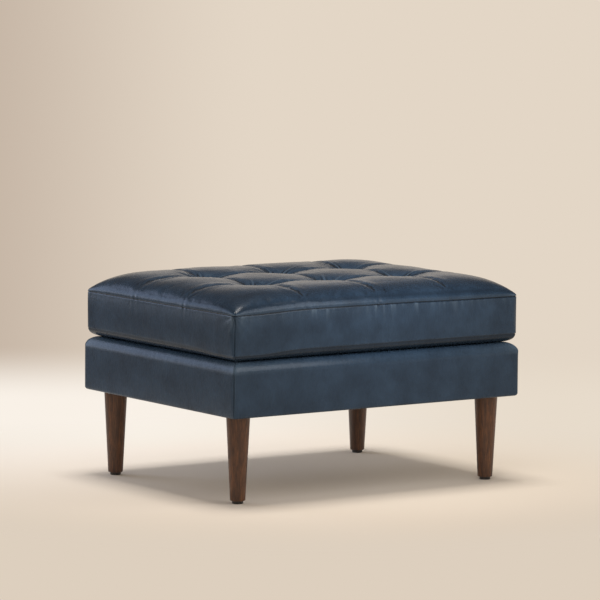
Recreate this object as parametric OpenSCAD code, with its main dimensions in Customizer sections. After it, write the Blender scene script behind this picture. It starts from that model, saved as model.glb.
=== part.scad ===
// Leather ottoman: an upholstered timber box base on four tapered legs, with a
// loose tufted cushion that lifts off the deck and closes with a zip at the back.
// The origin is on the floor under the middle, X runs along the long side, Z is up.
// Front is -Y and left is -X.

/* [Base] */
// Width over the base covers, along the long side
base_w = 800; // [680:5:1000]
// Depth over the base covers, along the short side
base_d = 630; // [520:5:800]
// Height from the underside of the base to the deck
base_h = 127; // [115:1:180]
// Swell of the base sides past their bottom edge
base_swell = 2.5; // [1:0.5:5]
// Radius of the padded roll round the top edge
roll_r = 29; // [18:1:36]
// Radius of the turned-under bottom edge
hem_r = 6; // [3:0.5:10]
// Radius of the upright corners of the base
base_corner_r = 10; // [6:1:20]
// Width of leather turned under the rails
hem_w = 30; // [20:1:36]
// Width of leather returned over the deck edge
return_w = 60; // [45:1:90]

/* [Frame] */
// Thickness of the rails and the centre brace
rail_t = 22; // [18:1:26]
// Height of the centre brace
brace_h = 50; // [30:1:60]
// Height of the corner blocks
block_h = 38; // [32:1:50]
// Timber left round a leg bolt in its corner block
block_margin = 32; // [28:1:40]
// Chamfer on the inner corner of a block
block_chamfer = 6; // [2:1:7]
// Diameter of the rail dowels
dowel_d = 8; // [6:1:10]
// Length of the rail dowels
dowel_len = 40; // [32:1:44]
// Share of a dowel that sits in the long rail
dowel_front_len = 15; // [10:1:16]
// Distance of the dowels from the rail edges
dowel_edge = 22; // [16:1:28]
// Shank diameter of the block screws
screw_d = 4; // [3:0.5:5]
// Head diameter of the block screws
screw_head_d = 8; // [7:0.5:9]
// Depth that a block screw reaches into its rail
screw_bite = 14; // [10:1:16]

/* [Upholstery] */
// Thickness of the leather
leather_t = 1.5; // [1:0.1:2]
// Thickness of the wadding on the rail faces
wadding_t = 8; // [6:0.5:14]
// Thickness of the deck foam
deck_foam_t = 20; // [15:1:25]
// Thickness of the hessian under the deck foam
hessian_t = 1; // [0.8:0.1:1.5]
// Width of a webbing strap
web_w = 50; // [40:1:60]
// Thickness of a webbing strap
web_t = 2; // [1.5:0.1:2.5]
// Spacing of the webbing straps
web_pitch = 104; // [90:1:125]
// Distance of the strap ends from the outer faces of the rails
web_end_gap = 4; // [2:0.5:8]
// Thickness of the cloth in the middle of the deck
deck_cloth_t = 1; // [0.6:0.1:1.4]
// Thickness of the cloth under the base
dust_t = 1; // [0.6:0.1:1.5]
// Distance of the under-cloth from the base sides
dust_inset = 14; // [10:1:20]

/* [Legs] */
// Length of a wooden leg
leg_len = 191; // [120:1:240]
// Diameter of a leg at its top
leg_top_d = 54; // [46:1:60]
// Diameter of a leg at its foot
leg_foot_d = 34.5; // [30:0.5:44]
// Chamfer round the ends of a leg
leg_chamfer = 1.2; // [0.5:0.1:2.5]
// Distance of the leg centres from the left and right sides
leg_inset_x = 52; // [50:1:62]
// Distance of the leg centres from the front and back sides
leg_inset_y = 58.5; // [50:0.5:66]
// Diameter of a foot glide
glide_d = 25; // [20:1:29]
// Height of a foot glide under the leg
glide_h = 7; // [4:0.5:10]
// Diameter of a glide nail
glide_nail_d = 3; // [2:0.5:4]
// Length of a glide nail in the leg
glide_nail_len = 18; // [10:1:25]
// Diameter of the leg bolts
bolt_d = 8; // [6:1:10]
// Length of a leg bolt inside the leg
bolt_in_leg = 35; // [25:1:50]
// Length of a leg bolt past its tee nut
bolt_past_nut = 3; // [1:0.5:6]
// Flange diameter of the tee nuts
tee_flange_d = 19; // [17:1:24]
// Thickness of the tee nut flange
tee_flange_t = 1.6; // [1:0.1:2.5]
// Wall of the tee nut barrel
tee_wall = 1.2; // [0.8:0.1:1.8]
// Length of the tee nut barrel
tee_len = 12; // [8:1:16]

/* [Cushion] */
// Distance of the cushion sides inside the base sides
cushion_inset = 2; // [0:0.5:15]
// Radius of the upright corners of the cushion
cushion_corner_r = 18; // [12:1:26]
// Rise of the lower seam above the deck
belly_rise = 20; // [12:1:26]
// Run of the underside curve from the side to the flat
belly_run = 28; // [22:1:40]
// Height of the boxing between its two seams
boxing_h = 84; // [60:1:120]
// Draw-in of the seams behind the fullest part of the boxing
side_pull = 3; // [1:0.5:5]

/* [Tufted top] */
// Rise of the pillows above the top seam
crown_h = 51; // [46:1:65]
// Width of the edge over which the crown rises
edge_run = 185; // [150:5:220]
// Fullness of the crown near its edge
rise_power = 3.3; // [2:0.1:4]
// Sharpness of the crown where it leaves the seam
rise_blend = 0.4; // [0.35:0.05:0.6]
// Tufts along the long side
tufts_x = 3; // [2:1:3]
// Tufts along the short side
tufts_y = 2; // [1:1:2]
// Spacing of the tufts along the long side
tuft_pitch_x = 200; // [160:5:220]
// Spacing of the tufts along the short side
tuft_pitch_y = 205; // [160:5:230]
// Depth of the creases that run front to back
crease_depth_x = 7; // [4:0.5:10]
// Depth of the creases that run left to right
crease_depth_y = 8; // [4:0.5:10]
// Reach of a crease to its sides
crease_reach = 20; // [16:1:34]
// Extra depth of a tuft below its creases
tuft_depth = 24; // [6:0.5:26]
// Reach of the dimple round a tuft
tuft_reach = 30; // [18:1:36]
// Thickness of the fibre topping at its edge, below the top seam
topping_t = 10; // [5:1:20]
// Diameter of a tuft twine
twine_d = 2; // [1.5:0.1:3]
// Diameter of the felt washers under the twines
washer_d = 26; // [18:1:36]
// Thickness of the felt washers
washer_t = 3; // [2:0.5:5]

/* [Zip] */
// Distance of the zip ends from the sides of the cushion
zip_margin = 85; // [60:1:120]
// Height of the slot in the back boxing
zip_slot_h = 12; // [11.5:0.5:16]
// Width of the zip tape
zip_tape_w = 30; // [24:1:36]
// Thickness of the zip tape
zip_tape_t = 0.8; // [0.5:0.1:1.2]
// Width of the zip coil
zip_coil_w = 6; // [4.5:0.5:6.5]
// Thickness of the zip coil
zip_coil_t = 2; // [1.5:0.1:2.4]
// Length of a stop at each zip end
zip_stop_len = 4; // [3:0.5:8]
// Width of the slider across the coil
slider_w = 9.5; // [9:0.5:10.5]
// Length of the slider along the coil
slider_len = 10; // [8:0.5:14]
// Thickness of the slider above the coil
slider_cap_t = 1.6; // [1.2:0.1:2.5]

/* [Fits] */
// Gap between the cushion and the deck at rest
cushion_gap = 0.3; // [0.2:0.1:1]
// Gap of a filling inside its cover
fill_gap = 0.2; // [0.1:0.05:0.5]
// Radial clearance of bolts, nails, screws and dowels in their holes
hole_gap = 0.1; // [0.05:0.05:0.2]
// Gap of the zip slider on its coil and tape
slider_gap = 0.3; // [0.2:0.05:0.5]

/* [Hidden] */

$fn = 64;
leather = "#3b4653";
roll_steps = 8;
hem_steps = 3;
side_steps = 6;
cut = 1;

// Levels, from the floor up
base_z = glide_h + leg_len;
hem_z = base_z + dust_t;
frame_z = hem_z + leather_t;
deck_z = base_z + base_h;
deck_foam_z = deck_z - leather_t - deck_foam_t;
hessian_z = deck_foam_z - hessian_t;
web_z = hessian_z - 2 * web_t;
rail_h = web_z - frame_z;
cushion_z = deck_z + cushion_gap;
low_seam_z = cushion_z + belly_rise;
top_seam_z = low_seam_z + boxing_h;

// Outlines
frame_inset = base_swell + leather_t + wadding_t;
frame_w = base_w - 2 * frame_inset;
frame_d = base_d - 2 * frame_inset;
rail_inner_x = frame_w / 2 - rail_t;
rail_inner_y = frame_d / 2 - rail_t;
leg_x = base_w / 2 - leg_inset_x;
leg_y = base_d / 2 - leg_inset_y;
cushion_w = base_w - 2 * cushion_inset;
cushion_d = base_d - 2 * cushion_inset;
seam_x = cushion_w / 2 - side_pull;
seam_y = cushion_d / 2 - side_pull;
seam_corner_r = cushion_corner_r - side_pull;

// Corner blocks run from the rails past the leg bolts
block_x = rail_inner_x - leg_x + block_margin;
block_y = rail_inner_y - leg_y + block_margin;
block_top_z = hem_z + block_h;
screw_edge = block_chamfer + screw_head_d / 2;
screw_low_z = hem_z + block_h / 3;
screw_high_z = hem_z + block_h * 2 / 3;
tee_hole_r = bolt_d / 2 + tee_wall + 2 * hole_gap;

// Tufts and the creases that join them
crease_xs = [for (i = [0:tufts_x - 1]) (i - (tufts_x - 1) / 2) * tuft_pitch_x];
crease_ys = [for (j = [0:tufts_y - 1]) (j - (tufts_y - 1) / 2) * tuft_pitch_y];
pillow_steps = [0, 0.1, 0.3, 0.5, 0.7, 0.9];
border_steps = [0.1, 0.32, 0.58, 0.8, 0.93, 0.985, 1];

// Zip, centred on the height of the back boxing
zip_z = (low_seam_z + top_seam_z) / 2;
zip_len = cushion_w - 2 * zip_margin;
zip_tape_drop = side_pull * pow(zip_tape_w / boxing_h, 2);
zip_tape_y = cushion_d / 2 - leather_t - zip_tape_drop - fill_gap;
slider_x = zip_len / 2 - zip_stop_len - slider_gap - slider_len / 2;
slider_travel = 2 * slider_x;

// Points along an arc, from one angle to another
function arc_points(centre, r, from, to, steps) =
    [for (i = [0:steps]) centre + r * [cos(from + (to - from) * i / steps), sin(from + (to - from) * i / steps)]];

// Right half joined to its mirror image
function mirrored(points) =
    concat(points, [for (i = [len(points) - 1:-1:0]) [-points[i].x, points[i].y]]);

// Swell of a side at a height given as -1 to 1 from its middle
function swelled(half, swell, share) = half - swell * share * share;

// Section through the base, drawn in by an inset: hem, swelled side and top roll
function base_section(half, inset) =
    let (mid_z = (hem_z + deck_z) / 2, span = (deck_z - hem_z) / 2)
    let (roll_z = deck_z - roll_r)
    let (roll_x = swelled(half, base_swell, (roll_z - mid_z) / span) - roll_r)
    let (hem_x = swelled(half, base_swell, (hem_z + hem_r - mid_z) / span) - hem_r)
    mirrored(concat(
        arc_points([hem_x, hem_z + hem_r], hem_r - inset, -90, 0, hem_steps),
        [for (i = [1:side_steps - 1])
            let (z = hem_z + hem_r + (roll_z - hem_z - hem_r) * i / side_steps)
            [swelled(half, base_swell, (z - mid_z) / span) - inset, z]],
        arc_points([roll_x, roll_z], roll_r - inset, 0, 90, roll_steps)
    ));

// Section through the cushion, drawn in by an inset, up to a given height
function cushion_section(half, inset, top_z) =
    let (mid_z = (low_seam_z + top_seam_z) / 2, span = boxing_h / 2)
    let (belly_r = (belly_run * belly_run + belly_rise * belly_rise) / (2 * belly_rise))
    let (belly_end = acos((belly_r - belly_rise) / belly_r))
    let (belly_x = half - side_pull - belly_run)
    mirrored(concat(
        arc_points([belly_x, cushion_z + belly_r], belly_r - inset, -90, belly_end - 90, roll_steps),
        [for (i = [1:side_steps - 1])
            let (share = -1 + 2 * i / side_steps)
            [swelled(half, side_pull, share) - inset, mid_z + span * share]],
        [[half - side_pull - inset, top_seam_z]],
        top_z > top_seam_z ? [[half - side_pull - inset, top_z]] : []
    ));

// Rise of the top over the seam at a distance from it, as a share of the crown
function edge_rise(distance) =
    pow(1 - pow(1 - min(max(distance, 0) / edge_run, 1), rise_power), rise_blend);

// Fall-off from the nearest of several places
function dimple(distances, reach) = exp(-min(distances) / reach);

// Height of the leather over the top seam
function top_height(x, y) =
    let (away_x = [for (line = crease_xs) abs(x - line)])
    let (away_y = [for (line = crease_ys) abs(y - line)])
    let (away_tuft = [for (a = crease_xs, b = crease_ys) norm([x - a, y - b])])
    edge_rise(seam_x - abs(x)) * edge_rise(seam_y - abs(y)) * (
        crown_h
        - crease_depth_x * dimple(away_x, crease_reach)
        - crease_depth_y * dimple(away_y, crease_reach)
        - tuft_depth * dimple(away_tuft, tuft_reach)
    );

// Grid lines that follow the creases and close up towards the seam
function half_border(last, half) = [for (share = border_steps) last + (half - last) * share];
function stations(lines, half) =
    let (last = lines[len(lines) - 1], border = half_border(last, half))
    concat(
        [for (i = [len(border) - 1:-1:0]) -border[i]],
        [for (i = [0:1:len(lines) - 2], share = pillow_steps) lines[i] + (lines[i + 1] - lines[i]) * share],
        [last],
        border
    );

// Point of a rectangle moved onto the same rectangle with round corners
function round_corner(x, y, half_x, half_y, r) =
    let (over = [max(abs(x) - half_x + r, 0), max(abs(y) - half_y + r, 0)])
    let (shrink = min(over) > 0 ? max(over) / norm(over) : 1)
    [sign(x) * (abs(x) - over.x * (1 - shrink)), sign(y) * (abs(y) - over.y * (1 - shrink))];

// One skin of the tufted top: its plan is drawn in and its height lowered by the inset
function top_skin(inset, base_height) =
    [for (y = stations(crease_ys, seam_y), x = stations(crease_xs, seam_x))
        let (plan = round_corner(x * (seam_x - inset) / seam_x, y * (seam_y - inset) / seam_y,
            seam_x - inset, seam_y - inset, seam_corner_r - inset))
        let (at_edge = abs(x) >= seam_x - 0.01 || abs(y) >= seam_y - 0.01)
        [plan.x, plan.y, top_seam_z + (at_edge ? 0 : max(top_height(x, y) - inset, base_height))]];

columns = len(stations(crease_xs, seam_x));
rows = len(stations(crease_ys, seam_y));

// Triangles of a grid of points, facing up, or down when turned over
function grid_faces(first, turned) =
    [for (j = [0:rows - 2], i = [0:columns - 2], half = [0, 1])
        let (a = first + j * columns + i, b = a + 1, c = a + columns, d = c + 1)
        let (face = half == 0 ? [a, c, b] : [b, c, d])
        turned ? [face[0], face[2], face[1]] : face];

// Numbers of the border points of a grid, counter-clockwise seen from above
function border_numbers(first) = concat(
    [for (i = [0:columns - 1]) first + i],
    [for (j = [1:rows - 1]) first + j * columns + columns - 1],
    [for (i = [columns - 2:-1:0]) first + (rows - 1) * columns + i],
    [for (j = [rows - 2:-1:1]) first + j * columns]
);

// Triangles between two borders with the same number of points
function rim_faces(outer, inner) =
    [for (i = [0:len(outer) - 1], half = [0, 1])
        let (next = (i + 1) % len(outer))
        half == 0 ? [outer[i], outer[next], inner[i]] : [outer[next], inner[next], inner[i]]];

module rounded_plan(w, d, r) {
    square([w - 2 * r, d], center = true);
    square([w, d - 2 * r], center = true);
    for (x = [-1, 1], y = [-1, 1])
        translate([x * (w / 2 - r), y * (d / 2 - r)]) circle(r);
}

// Solid whose front and side views are two given sections and whose plan has round corners
module crossed_sections(w, d, r, side_view, front_view) {
    intersection() {
        rotate([90, 0, 90]) linear_extrude(w + 2 * cut, center = true) polygon(side_view);
        rotate([90, 0, 0]) linear_extrude(d + 2 * cut, center = true) polygon(front_view);
        linear_extrude(top_seam_z + 2 * crown_h) rounded_plan(w, d, r);
    }
}

module base_form(inset) {
    crossed_sections(base_w - 2 * inset, base_d - 2 * inset, base_corner_r - inset,
        base_section(base_d / 2, inset), base_section(base_w / 2, inset));
}

module cushion_form(inset, top_z) {
    crossed_sections(cushion_w - 2 * inset, cushion_d - 2 * inset, cushion_corner_r - inset,
        cushion_section(cushion_d / 2, inset, top_z), cushion_section(cushion_w / 2, inset, top_z));
}

// Box given by its size, its centre in plan and its underside
module block(size, at_x, at_y, z) {
    translate([at_x, at_y, z + size.z / 2]) cube(size, center = true);
}

module at_legs() {
    for (x = [-1, 1], y = [-1, 1]) translate([x * leg_x, y * leg_y, 0]) children();
}

module at_corners() {
    for (x = [-1, 1], y = [-1, 1]) corner_side(x, y) children();
}

// Corner of the frame mirrored to the side asked for
module corner_side(x, y) {
    mirror([x < 0 ? 1 : 0, 0, 0]) mirror([0, y < 0 ? 1 : 0, 0]) children();
}

// Dowels of the back right corner, across the joint of the long and the short rail
module corner_dowels(r) {
    for (z = [frame_z + dowel_edge, web_z - dowel_edge])
        translate([frame_w / 2 - rail_t / 2, rail_inner_y + dowel_front_len - dowel_len, z])
            rotate([-90, 0, 0]) cylinder(h = dowel_len, r = r);
}

// Screws of the back right block: one into the side rail and one into the back rail
module corner_screws(gap) {
    translate([rail_inner_x - block_x, rail_inner_y - block_y + screw_edge, screw_low_z])
        rotate([0, 90, 0]) block_screw(block_x + screw_bite, gap);
    translate([rail_inner_x - block_x + screw_edge, rail_inner_y - block_y, screw_high_z])
        rotate([-90, 0, 0]) block_screw(block_y + screw_bite, gap);
}

// Countersunk screw along +Z with its head at the origin
module block_screw(length, gap) {
    head_h = (screw_head_d - screw_d) / 2;
    cylinder(h = length + gap, r = screw_d / 2 + gap);
    cylinder(h = head_h, r1 = screw_head_d / 2 + gap, r2 = screw_d / 2 + gap);
}

module long_rail(side) {
    color("burlywood") difference() {
        block([frame_w, rail_t, rail_h], 0, side * (frame_d - rail_t) / 2, frame_z);
        at_corners() corner_dowels(dowel_d / 2 + hole_gap);
        at_corners() corner_screws(hole_gap);
    }
}

module short_rail(side) {
    color("burlywood") difference() {
        block([rail_t, 2 * rail_inner_y, rail_h], side * (frame_w - rail_t) / 2, 0, frame_z);
        at_corners() corner_dowels(dowel_d / 2 + hole_gap);
        at_corners() corner_screws(hole_gap);
    }
}

module front_rail() { long_rail(-1); }

module back_rail() { long_rail(1); }

module left_rail() { short_rail(-1); }

module right_rail() { short_rail(1); }

module centre_brace() {
    color("tan") block([rail_t, 2 * rail_inner_y, brace_h], 0, 0, frame_z);
}

module corner_blocks() {
    color("peru") at_corners() difference() {
        translate([rail_inner_x, rail_inner_y, hem_z]) linear_extrude(block_h) polygon([
            [0, 0], [-block_x, 0], [-block_x, -block_y + block_chamfer],
            [-block_x + block_chamfer, -block_y], [0, -block_y]
        ]);
        corner_screws(hole_gap);
        translate([leg_x, leg_y, hem_z - cut]) cylinder(h = block_h + 2 * cut, r = bolt_d / 2 + hole_gap);
        translate([leg_x, leg_y, block_top_z - tee_len - hole_gap])
            cylinder(h = tee_len + hole_gap + cut, r = tee_hole_r);
    }
}

module rail_dowels() {
    color("wheat") at_corners() corner_dowels(dowel_d / 2);
}

module block_screws() {
    color("gold") at_corners() corner_screws(0);
}

module tee_nuts() {
    color("silver") at_legs() difference() {
        union() {
            translate([0, 0, block_top_z]) cylinder(h = tee_flange_t, d = tee_flange_d);
            translate([0, 0, block_top_z - tee_len]) cylinder(h = tee_len, r = tee_hole_r - hole_gap);
        }
        translate([0, 0, block_top_z - tee_len - cut])
            cylinder(h = tee_len + tee_flange_t + 2 * cut, r = bolt_d / 2 + hole_gap);
    }
}

module leg_bolts() {
    color("gray") at_legs() translate([0, 0, base_z - bolt_in_leg])
        cylinder(h = bolt_in_leg + dust_t + block_h + tee_flange_t + bolt_past_nut, d = bolt_d);
}

// Places of the straps that fit across a width
function strap_places(width) =
    let (count = floor((width - web_w) / web_pitch) + 1)
    [for (i = [0:count - 1]) (i - (count - 1) / 2) * web_pitch];

// Side view of one strap: it lies on both rails and goes over and under the straps it meets
function strap_line(half, places, first_over) = concat(
    [[-half, 0]],
    [for (i = [0:len(places) - 1], side = [-1, 1])
        [places[i] + side * web_w / 2, (i + first_over) % 2 == 0 ? web_t : 0]],
    [[half, 0]]
);

module strap(half, places, first_over) {
    line = strap_line(half, places, first_over);
    rotate([90, 0, 0]) linear_extrude(web_w, center = true)
        polygon(concat(line, [for (i = [len(line) - 1:-1:0]) line[i] + [0, web_t]]));
}

long_places = strap_places(frame_d - 2 * rail_t);
cross_places = strap_places(frame_w - 2 * rail_t);

module webbing_lengthwise() {
    color("sienna") for (i = [0:len(long_places) - 1])
        translate([0, long_places[i], web_z]) strap(frame_w / 2 - web_end_gap, cross_places, i);
}

module webbing_crosswise() {
    color("darkkhaki") for (i = [0:len(cross_places) - 1])
        translate([cross_places[i], 0, web_z]) rotate(90)
            strap(frame_d / 2 - web_end_gap, long_places, i + 1);
}

module hessian_sheet() {
    color("khaki") block([frame_w, frame_d, hessian_t], 0, 0, hessian_z);
}

module deck_foam() {
    color("lemonchiffon") intersection() {
        base_form(leather_t);
        block([base_w, base_d, deck_foam_t + cut], 0, 0, deck_foam_z);
    }
}

module base_wadding() {
    color("white") difference() {
        base_form(leather_t);
        block([frame_w, frame_d, base_h], 0, 0, frame_z - cut);
        block([base_w, base_d, base_h], 0, 0, deck_foam_z);
    }
}

// Shell of leather round the base, open in the middle above and below
module cover_ring() {
    difference() {
        base_form(0);
        base_form(leather_t);
        block([base_w - 2 * hem_w, base_d - 2 * hem_w, base_h / 2], 0, 0, hem_z - cut);
        block([base_w - 2 * return_w, base_d - 2 * return_w, base_h / 2], 0, 0, deck_z - base_h / 2 + cut);
    }
}

// Space between two mitred corners of a ring, on the side that faces -Y
module mitred_side(length, width, low_z, height) {
    reach = width / 2 - cut;
    translate([0, 0, low_z - cut]) linear_extrude(height + 2 * cut) polygon([
        [-length / 2 - cut, -width / 2 - cut], [length / 2 + cut, -width / 2 - cut],
        [length / 2 - reach, -width / 2 + reach], [-length / 2 + reach, -width / 2 + reach]
    ]);
}

module cover_side() { mitred_side(base_w, base_d, hem_z, base_h); }

module front_cover() {
    color(leather) intersection() {
        cover_ring();
        cover_side();
    }
}

module back_cover() {
    color(leather) intersection() {
        cover_ring();
        rotate(180) cover_side();
    }
}

module left_cover() {
    color(leather) difference() {
        cover_ring();
        cover_side();
        rotate(180) cover_side();
        block([base_w / 2 + cut, base_d + 2 * cut, base_h + 2 * cut], base_w / 4 + cut / 2, 0, hem_z - cut);
    }
}

module right_cover() { mirror([1, 0, 0]) left_cover(); }

module deck_cloth() {
    color("dimgray") block([base_w - 2 * return_w, base_d - 2 * return_w, deck_cloth_t],
        0, 0, deck_z - leather_t);
}

module dust_cover() {
    color("#26282b") difference() {
        block([base_w - 2 * dust_inset, base_d - 2 * dust_inset, dust_t], 0, 0, base_z);
        at_legs() translate([0, 0, base_z - cut]) cylinder(h = dust_t + 2 * cut, r = bolt_d / 2 + hole_gap);
    }
}

// Tapered round leg with its bolt hole above and its nail hole below
module leg(x, y) {
    slope = (leg_top_d - leg_foot_d) / 2 / leg_len;
    color("#4a3026") translate([x * leg_x, y * leg_y, glide_h]) difference() {
        rotate_extrude() polygon([
            [0, 0], [leg_foot_d / 2 - leg_chamfer, 0], [leg_foot_d / 2 + slope * leg_chamfer, leg_chamfer],
            [leg_top_d / 2 - slope * leg_chamfer, leg_len - leg_chamfer],
            [leg_top_d / 2 - leg_chamfer, leg_len], [0, leg_len]
        ]);
        translate([0, 0, leg_len - bolt_in_leg - hole_gap])
            cylinder(h = bolt_in_leg + hole_gap + cut, r = bolt_d / 2 + hole_gap);
        translate([0, 0, -cut]) cylinder(h = glide_nail_len + hole_gap + cut, r = glide_nail_d / 2 + hole_gap);
    }
}

module front_left_leg() { leg(-1, -1); }

module front_right_leg() { leg(1, -1); }

module back_left_leg() { leg(-1, 1); }

module back_right_leg() { leg(1, 1); }

module foot_glides() {
    color("#22201f") at_legs() {
        cylinder(h = leg_chamfer, r1 = glide_d / 2 - leg_chamfer, r2 = glide_d / 2);
        translate([0, 0, leg_chamfer]) cylinder(h = glide_h - leg_chamfer, d = glide_d);
        translate([0, 0, glide_h]) cylinder(h = glide_nail_len, d = glide_nail_d);
    }
}

module tufted_top() {
    outer = border_numbers(0);
    inner = border_numbers(columns * rows);
    color(leather) polyhedron(
        points = concat(top_skin(0, 0), top_skin(leather_t, 0)),
        faces = concat(grid_faces(0, false), grid_faces(columns * rows, true), rim_faces(outer, inner))
    );
}

module boxing_ring() {
    difference() {
        cushion_form(0, top_seam_z);
        cushion_form(leather_t, top_seam_z + cut);
        block([cushion_w + 2 * cut, cushion_d + 2 * cut, belly_rise + cut], 0, 0, cushion_z - cut);
    }
}

module boxing_side() { mitred_side(cushion_w, cushion_d, low_seam_z, boxing_h); }

module front_boxing() {
    color(leather) intersection() {
        boxing_ring();
        boxing_side();
    }
}

module back_boxing() {
    slot_depth = 2 * (leather_t + side_pull);
    color(leather) difference() {
        intersection() {
            boxing_ring();
            rotate(180) boxing_side();
        }
        block([zip_len, slot_depth, zip_slot_h], 0, cushion_d / 2, zip_z - zip_slot_h / 2);
    }
}

module left_boxing() {
    color(leather) difference() {
        boxing_ring();
        boxing_side();
        rotate(180) boxing_side();
        block([cushion_w / 2 + cut, cushion_d + 2 * cut, boxing_h + 2 * cut],
            cushion_w / 4 + cut / 2, 0, low_seam_z - cut);
    }
}

module right_boxing() { mirror([1, 0, 0]) left_boxing(); }

module bottom_panel() {
    color(leather) difference() {
        cushion_form(0, top_seam_z);
        cushion_form(leather_t, top_seam_z + cut);
        block([cushion_w + 2 * cut, cushion_d + 2 * cut, boxing_h + 2 * cut], 0, 0, low_seam_z);
    }
}

module twine_holes(r) {
    for (x = crease_xs, y = crease_ys)
        translate([x, y, cushion_z]) cylinder(h = top_seam_z - cushion_z + crown_h, r = r);
}

module foam_core() {
    inset = leather_t + fill_gap;
    tape_depth = zip_tape_drop + zip_tape_t + 2 * fill_gap;
    color("khaki") difference() {
        cushion_form(inset, top_seam_z);
        block([cushion_w, cushion_d, topping_t + cut], 0, 0, top_seam_z - topping_t);
        twine_holes(twine_d / 2 + hole_gap);
        for (x = crease_xs, y = crease_ys)
            translate([x, y, cushion_z]) cylinder(h = inset + washer_t, r = washer_d / 2 + hole_gap);
        block([zip_len + 2 * zip_tape_w, 2 * tape_depth, zip_tape_w + 2 * fill_gap],
            0, cushion_d / 2 - inset, zip_z - zip_tape_w / 2 - fill_gap);
    }
}

module fibre_topping() {
    skin = top_skin(leather_t + fill_gap, fill_gap);
    border = border_numbers(0);
    foot = [for (i = [0:len(border) - 1]) len(skin) + i];
    color("white") difference() {
        polyhedron(
            points = concat(skin, [for (number = border) skin[number] - [0, 0, topping_t]]),
            faces = concat(grid_faces(0, false), rim_faces(border, foot), [foot])
        );
        twine_holes(twine_d / 2 + hole_gap);
    }
}

module tuft_twines() {
    low_z = cushion_z + leather_t + fill_gap;
    color("ivory") for (x = crease_xs, y = crease_ys)
        translate([x, y, low_z])
            cylinder(h = top_seam_z + top_height(x, y) - leather_t - fill_gap - low_z, d = twine_d);
}

module tuft_washers() {
    color("gray") for (x = crease_xs, y = crease_ys)
        translate([x, y, cushion_z + leather_t + fill_gap]) difference() {
            cylinder(h = washer_t, d = washer_d);
            translate([0, 0, -cut]) cylinder(h = washer_t + 2 * cut, r = twine_d / 2 + hole_gap);
        }
}

module zip_tape() {
    color("#20242a") block([zip_len + zip_tape_w, zip_tape_t, zip_tape_w],
        0, zip_tape_y - zip_tape_t / 2, zip_z - zip_tape_w / 2);
}

module zip_coil() {
    color("#2c3138") {
        block([zip_len - 2 * zip_stop_len, zip_coil_t, zip_coil_w],
            0, zip_tape_y + zip_coil_t / 2, zip_z - zip_coil_w / 2);
        for (side = [-1, 1])
            block([zip_stop_len, zip_coil_t, zip_slot_h - 2 * fill_gap],
                side * (zip_len - zip_stop_len) / 2, zip_tape_y + zip_coil_t / 2,
                zip_z - zip_slot_h / 2 + fill_gap);
    }
}

// Slider closed at the right end of the zip: a cap with a skirt on each side of the coil
module zip_slider() {
    depth = zip_coil_t + slider_gap + slider_cap_t;
    color("#8d9096") difference() {
        block([slider_len, depth - slider_gap, slider_w], slider_x,
            zip_tape_y + slider_gap + (depth - slider_gap) / 2, zip_z - slider_w / 2);
        block([slider_len + 2 * cut, 2 * (zip_coil_t + slider_gap), zip_coil_w + 2 * slider_gap],
            slider_x, zip_tape_y, zip_z - zip_coil_w / 2 - slider_gap);
    }
}

front_rail();
back_rail();
left_rail();
right_rail();
centre_brace();
corner_blocks();
rail_dowels();
block_screws();
tee_nuts();
leg_bolts();
webbing_lengthwise();
webbing_crosswise();
hessian_sheet();
deck_foam();
base_wadding();
front_cover();
back_cover();
left_cover();
right_cover();
deck_cloth();
dust_cover();
front_left_leg();
front_right_leg();
back_left_leg();
back_right_leg();
foot_glides();
tufted_top();
front_boxing();
back_boxing();
left_boxing();
right_boxing();
bottom_panel();
foam_core();
fibre_topping();
tuft_twines();
tuft_washers();
zip_tape();
zip_coil();
zip_slider();
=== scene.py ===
"""Leather ottoman: a loose tufted cushion on an upholstered base with four tapered legs.

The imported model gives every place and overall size. Lengths are in metres, and a name that ends in
_MM is in millimetres. Front is -Y, left is -X and up is +Z.
"""

import functools
import math

import bmesh
import bpy
import numpy as np
from bpy.props import FloatProperty, FloatVectorProperty, IntProperty, PointerProperty
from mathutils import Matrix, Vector, noise


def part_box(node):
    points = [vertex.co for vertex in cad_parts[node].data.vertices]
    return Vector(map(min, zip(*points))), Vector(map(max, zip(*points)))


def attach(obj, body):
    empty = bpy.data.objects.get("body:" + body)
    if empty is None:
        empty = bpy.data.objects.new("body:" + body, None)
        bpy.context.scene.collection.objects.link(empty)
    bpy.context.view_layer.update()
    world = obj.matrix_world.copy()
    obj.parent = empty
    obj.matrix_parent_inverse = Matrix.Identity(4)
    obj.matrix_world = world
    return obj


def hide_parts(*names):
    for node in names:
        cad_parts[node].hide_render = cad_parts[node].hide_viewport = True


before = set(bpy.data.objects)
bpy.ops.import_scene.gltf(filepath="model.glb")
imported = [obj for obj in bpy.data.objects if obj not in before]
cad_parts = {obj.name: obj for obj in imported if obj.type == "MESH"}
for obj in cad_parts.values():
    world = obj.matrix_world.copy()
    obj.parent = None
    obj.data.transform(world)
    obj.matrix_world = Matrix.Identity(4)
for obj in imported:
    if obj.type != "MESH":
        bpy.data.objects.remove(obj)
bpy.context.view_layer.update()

bl_info = {
    "name": "Leather Ottoman",
    "version": (1, 0, 0),
    "blender": (4, 5, 0),
    "location": "View3D > Sidebar > Ottoman",
    "description": "Dresses a tufted ottoman in leather, walnut and cloth",
    "category": "Object",
}

MM = 0.001


def linear(hex_colour):
    """Linear red, green and blue of an sRGB hex colour, and full alpha."""
    channels = [int(hex_colour[i : i + 2], 16) / 255 for i in (0, 2, 4)]
    return [*(c / 12.92 if c <= 0.04045 else ((c + 0.055) / 1.055) ** 2.4 for c in channels), 1]


def length(name, mm, description):
    """Property that holds a length given in millimetres."""
    return FloatProperty(name=name, description=description, default=mm * MM, unit="LENGTH")


def share(name, value, description):
    """Property that holds a share or another plain number."""
    return FloatProperty(name=name, description=description, default=value)


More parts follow.
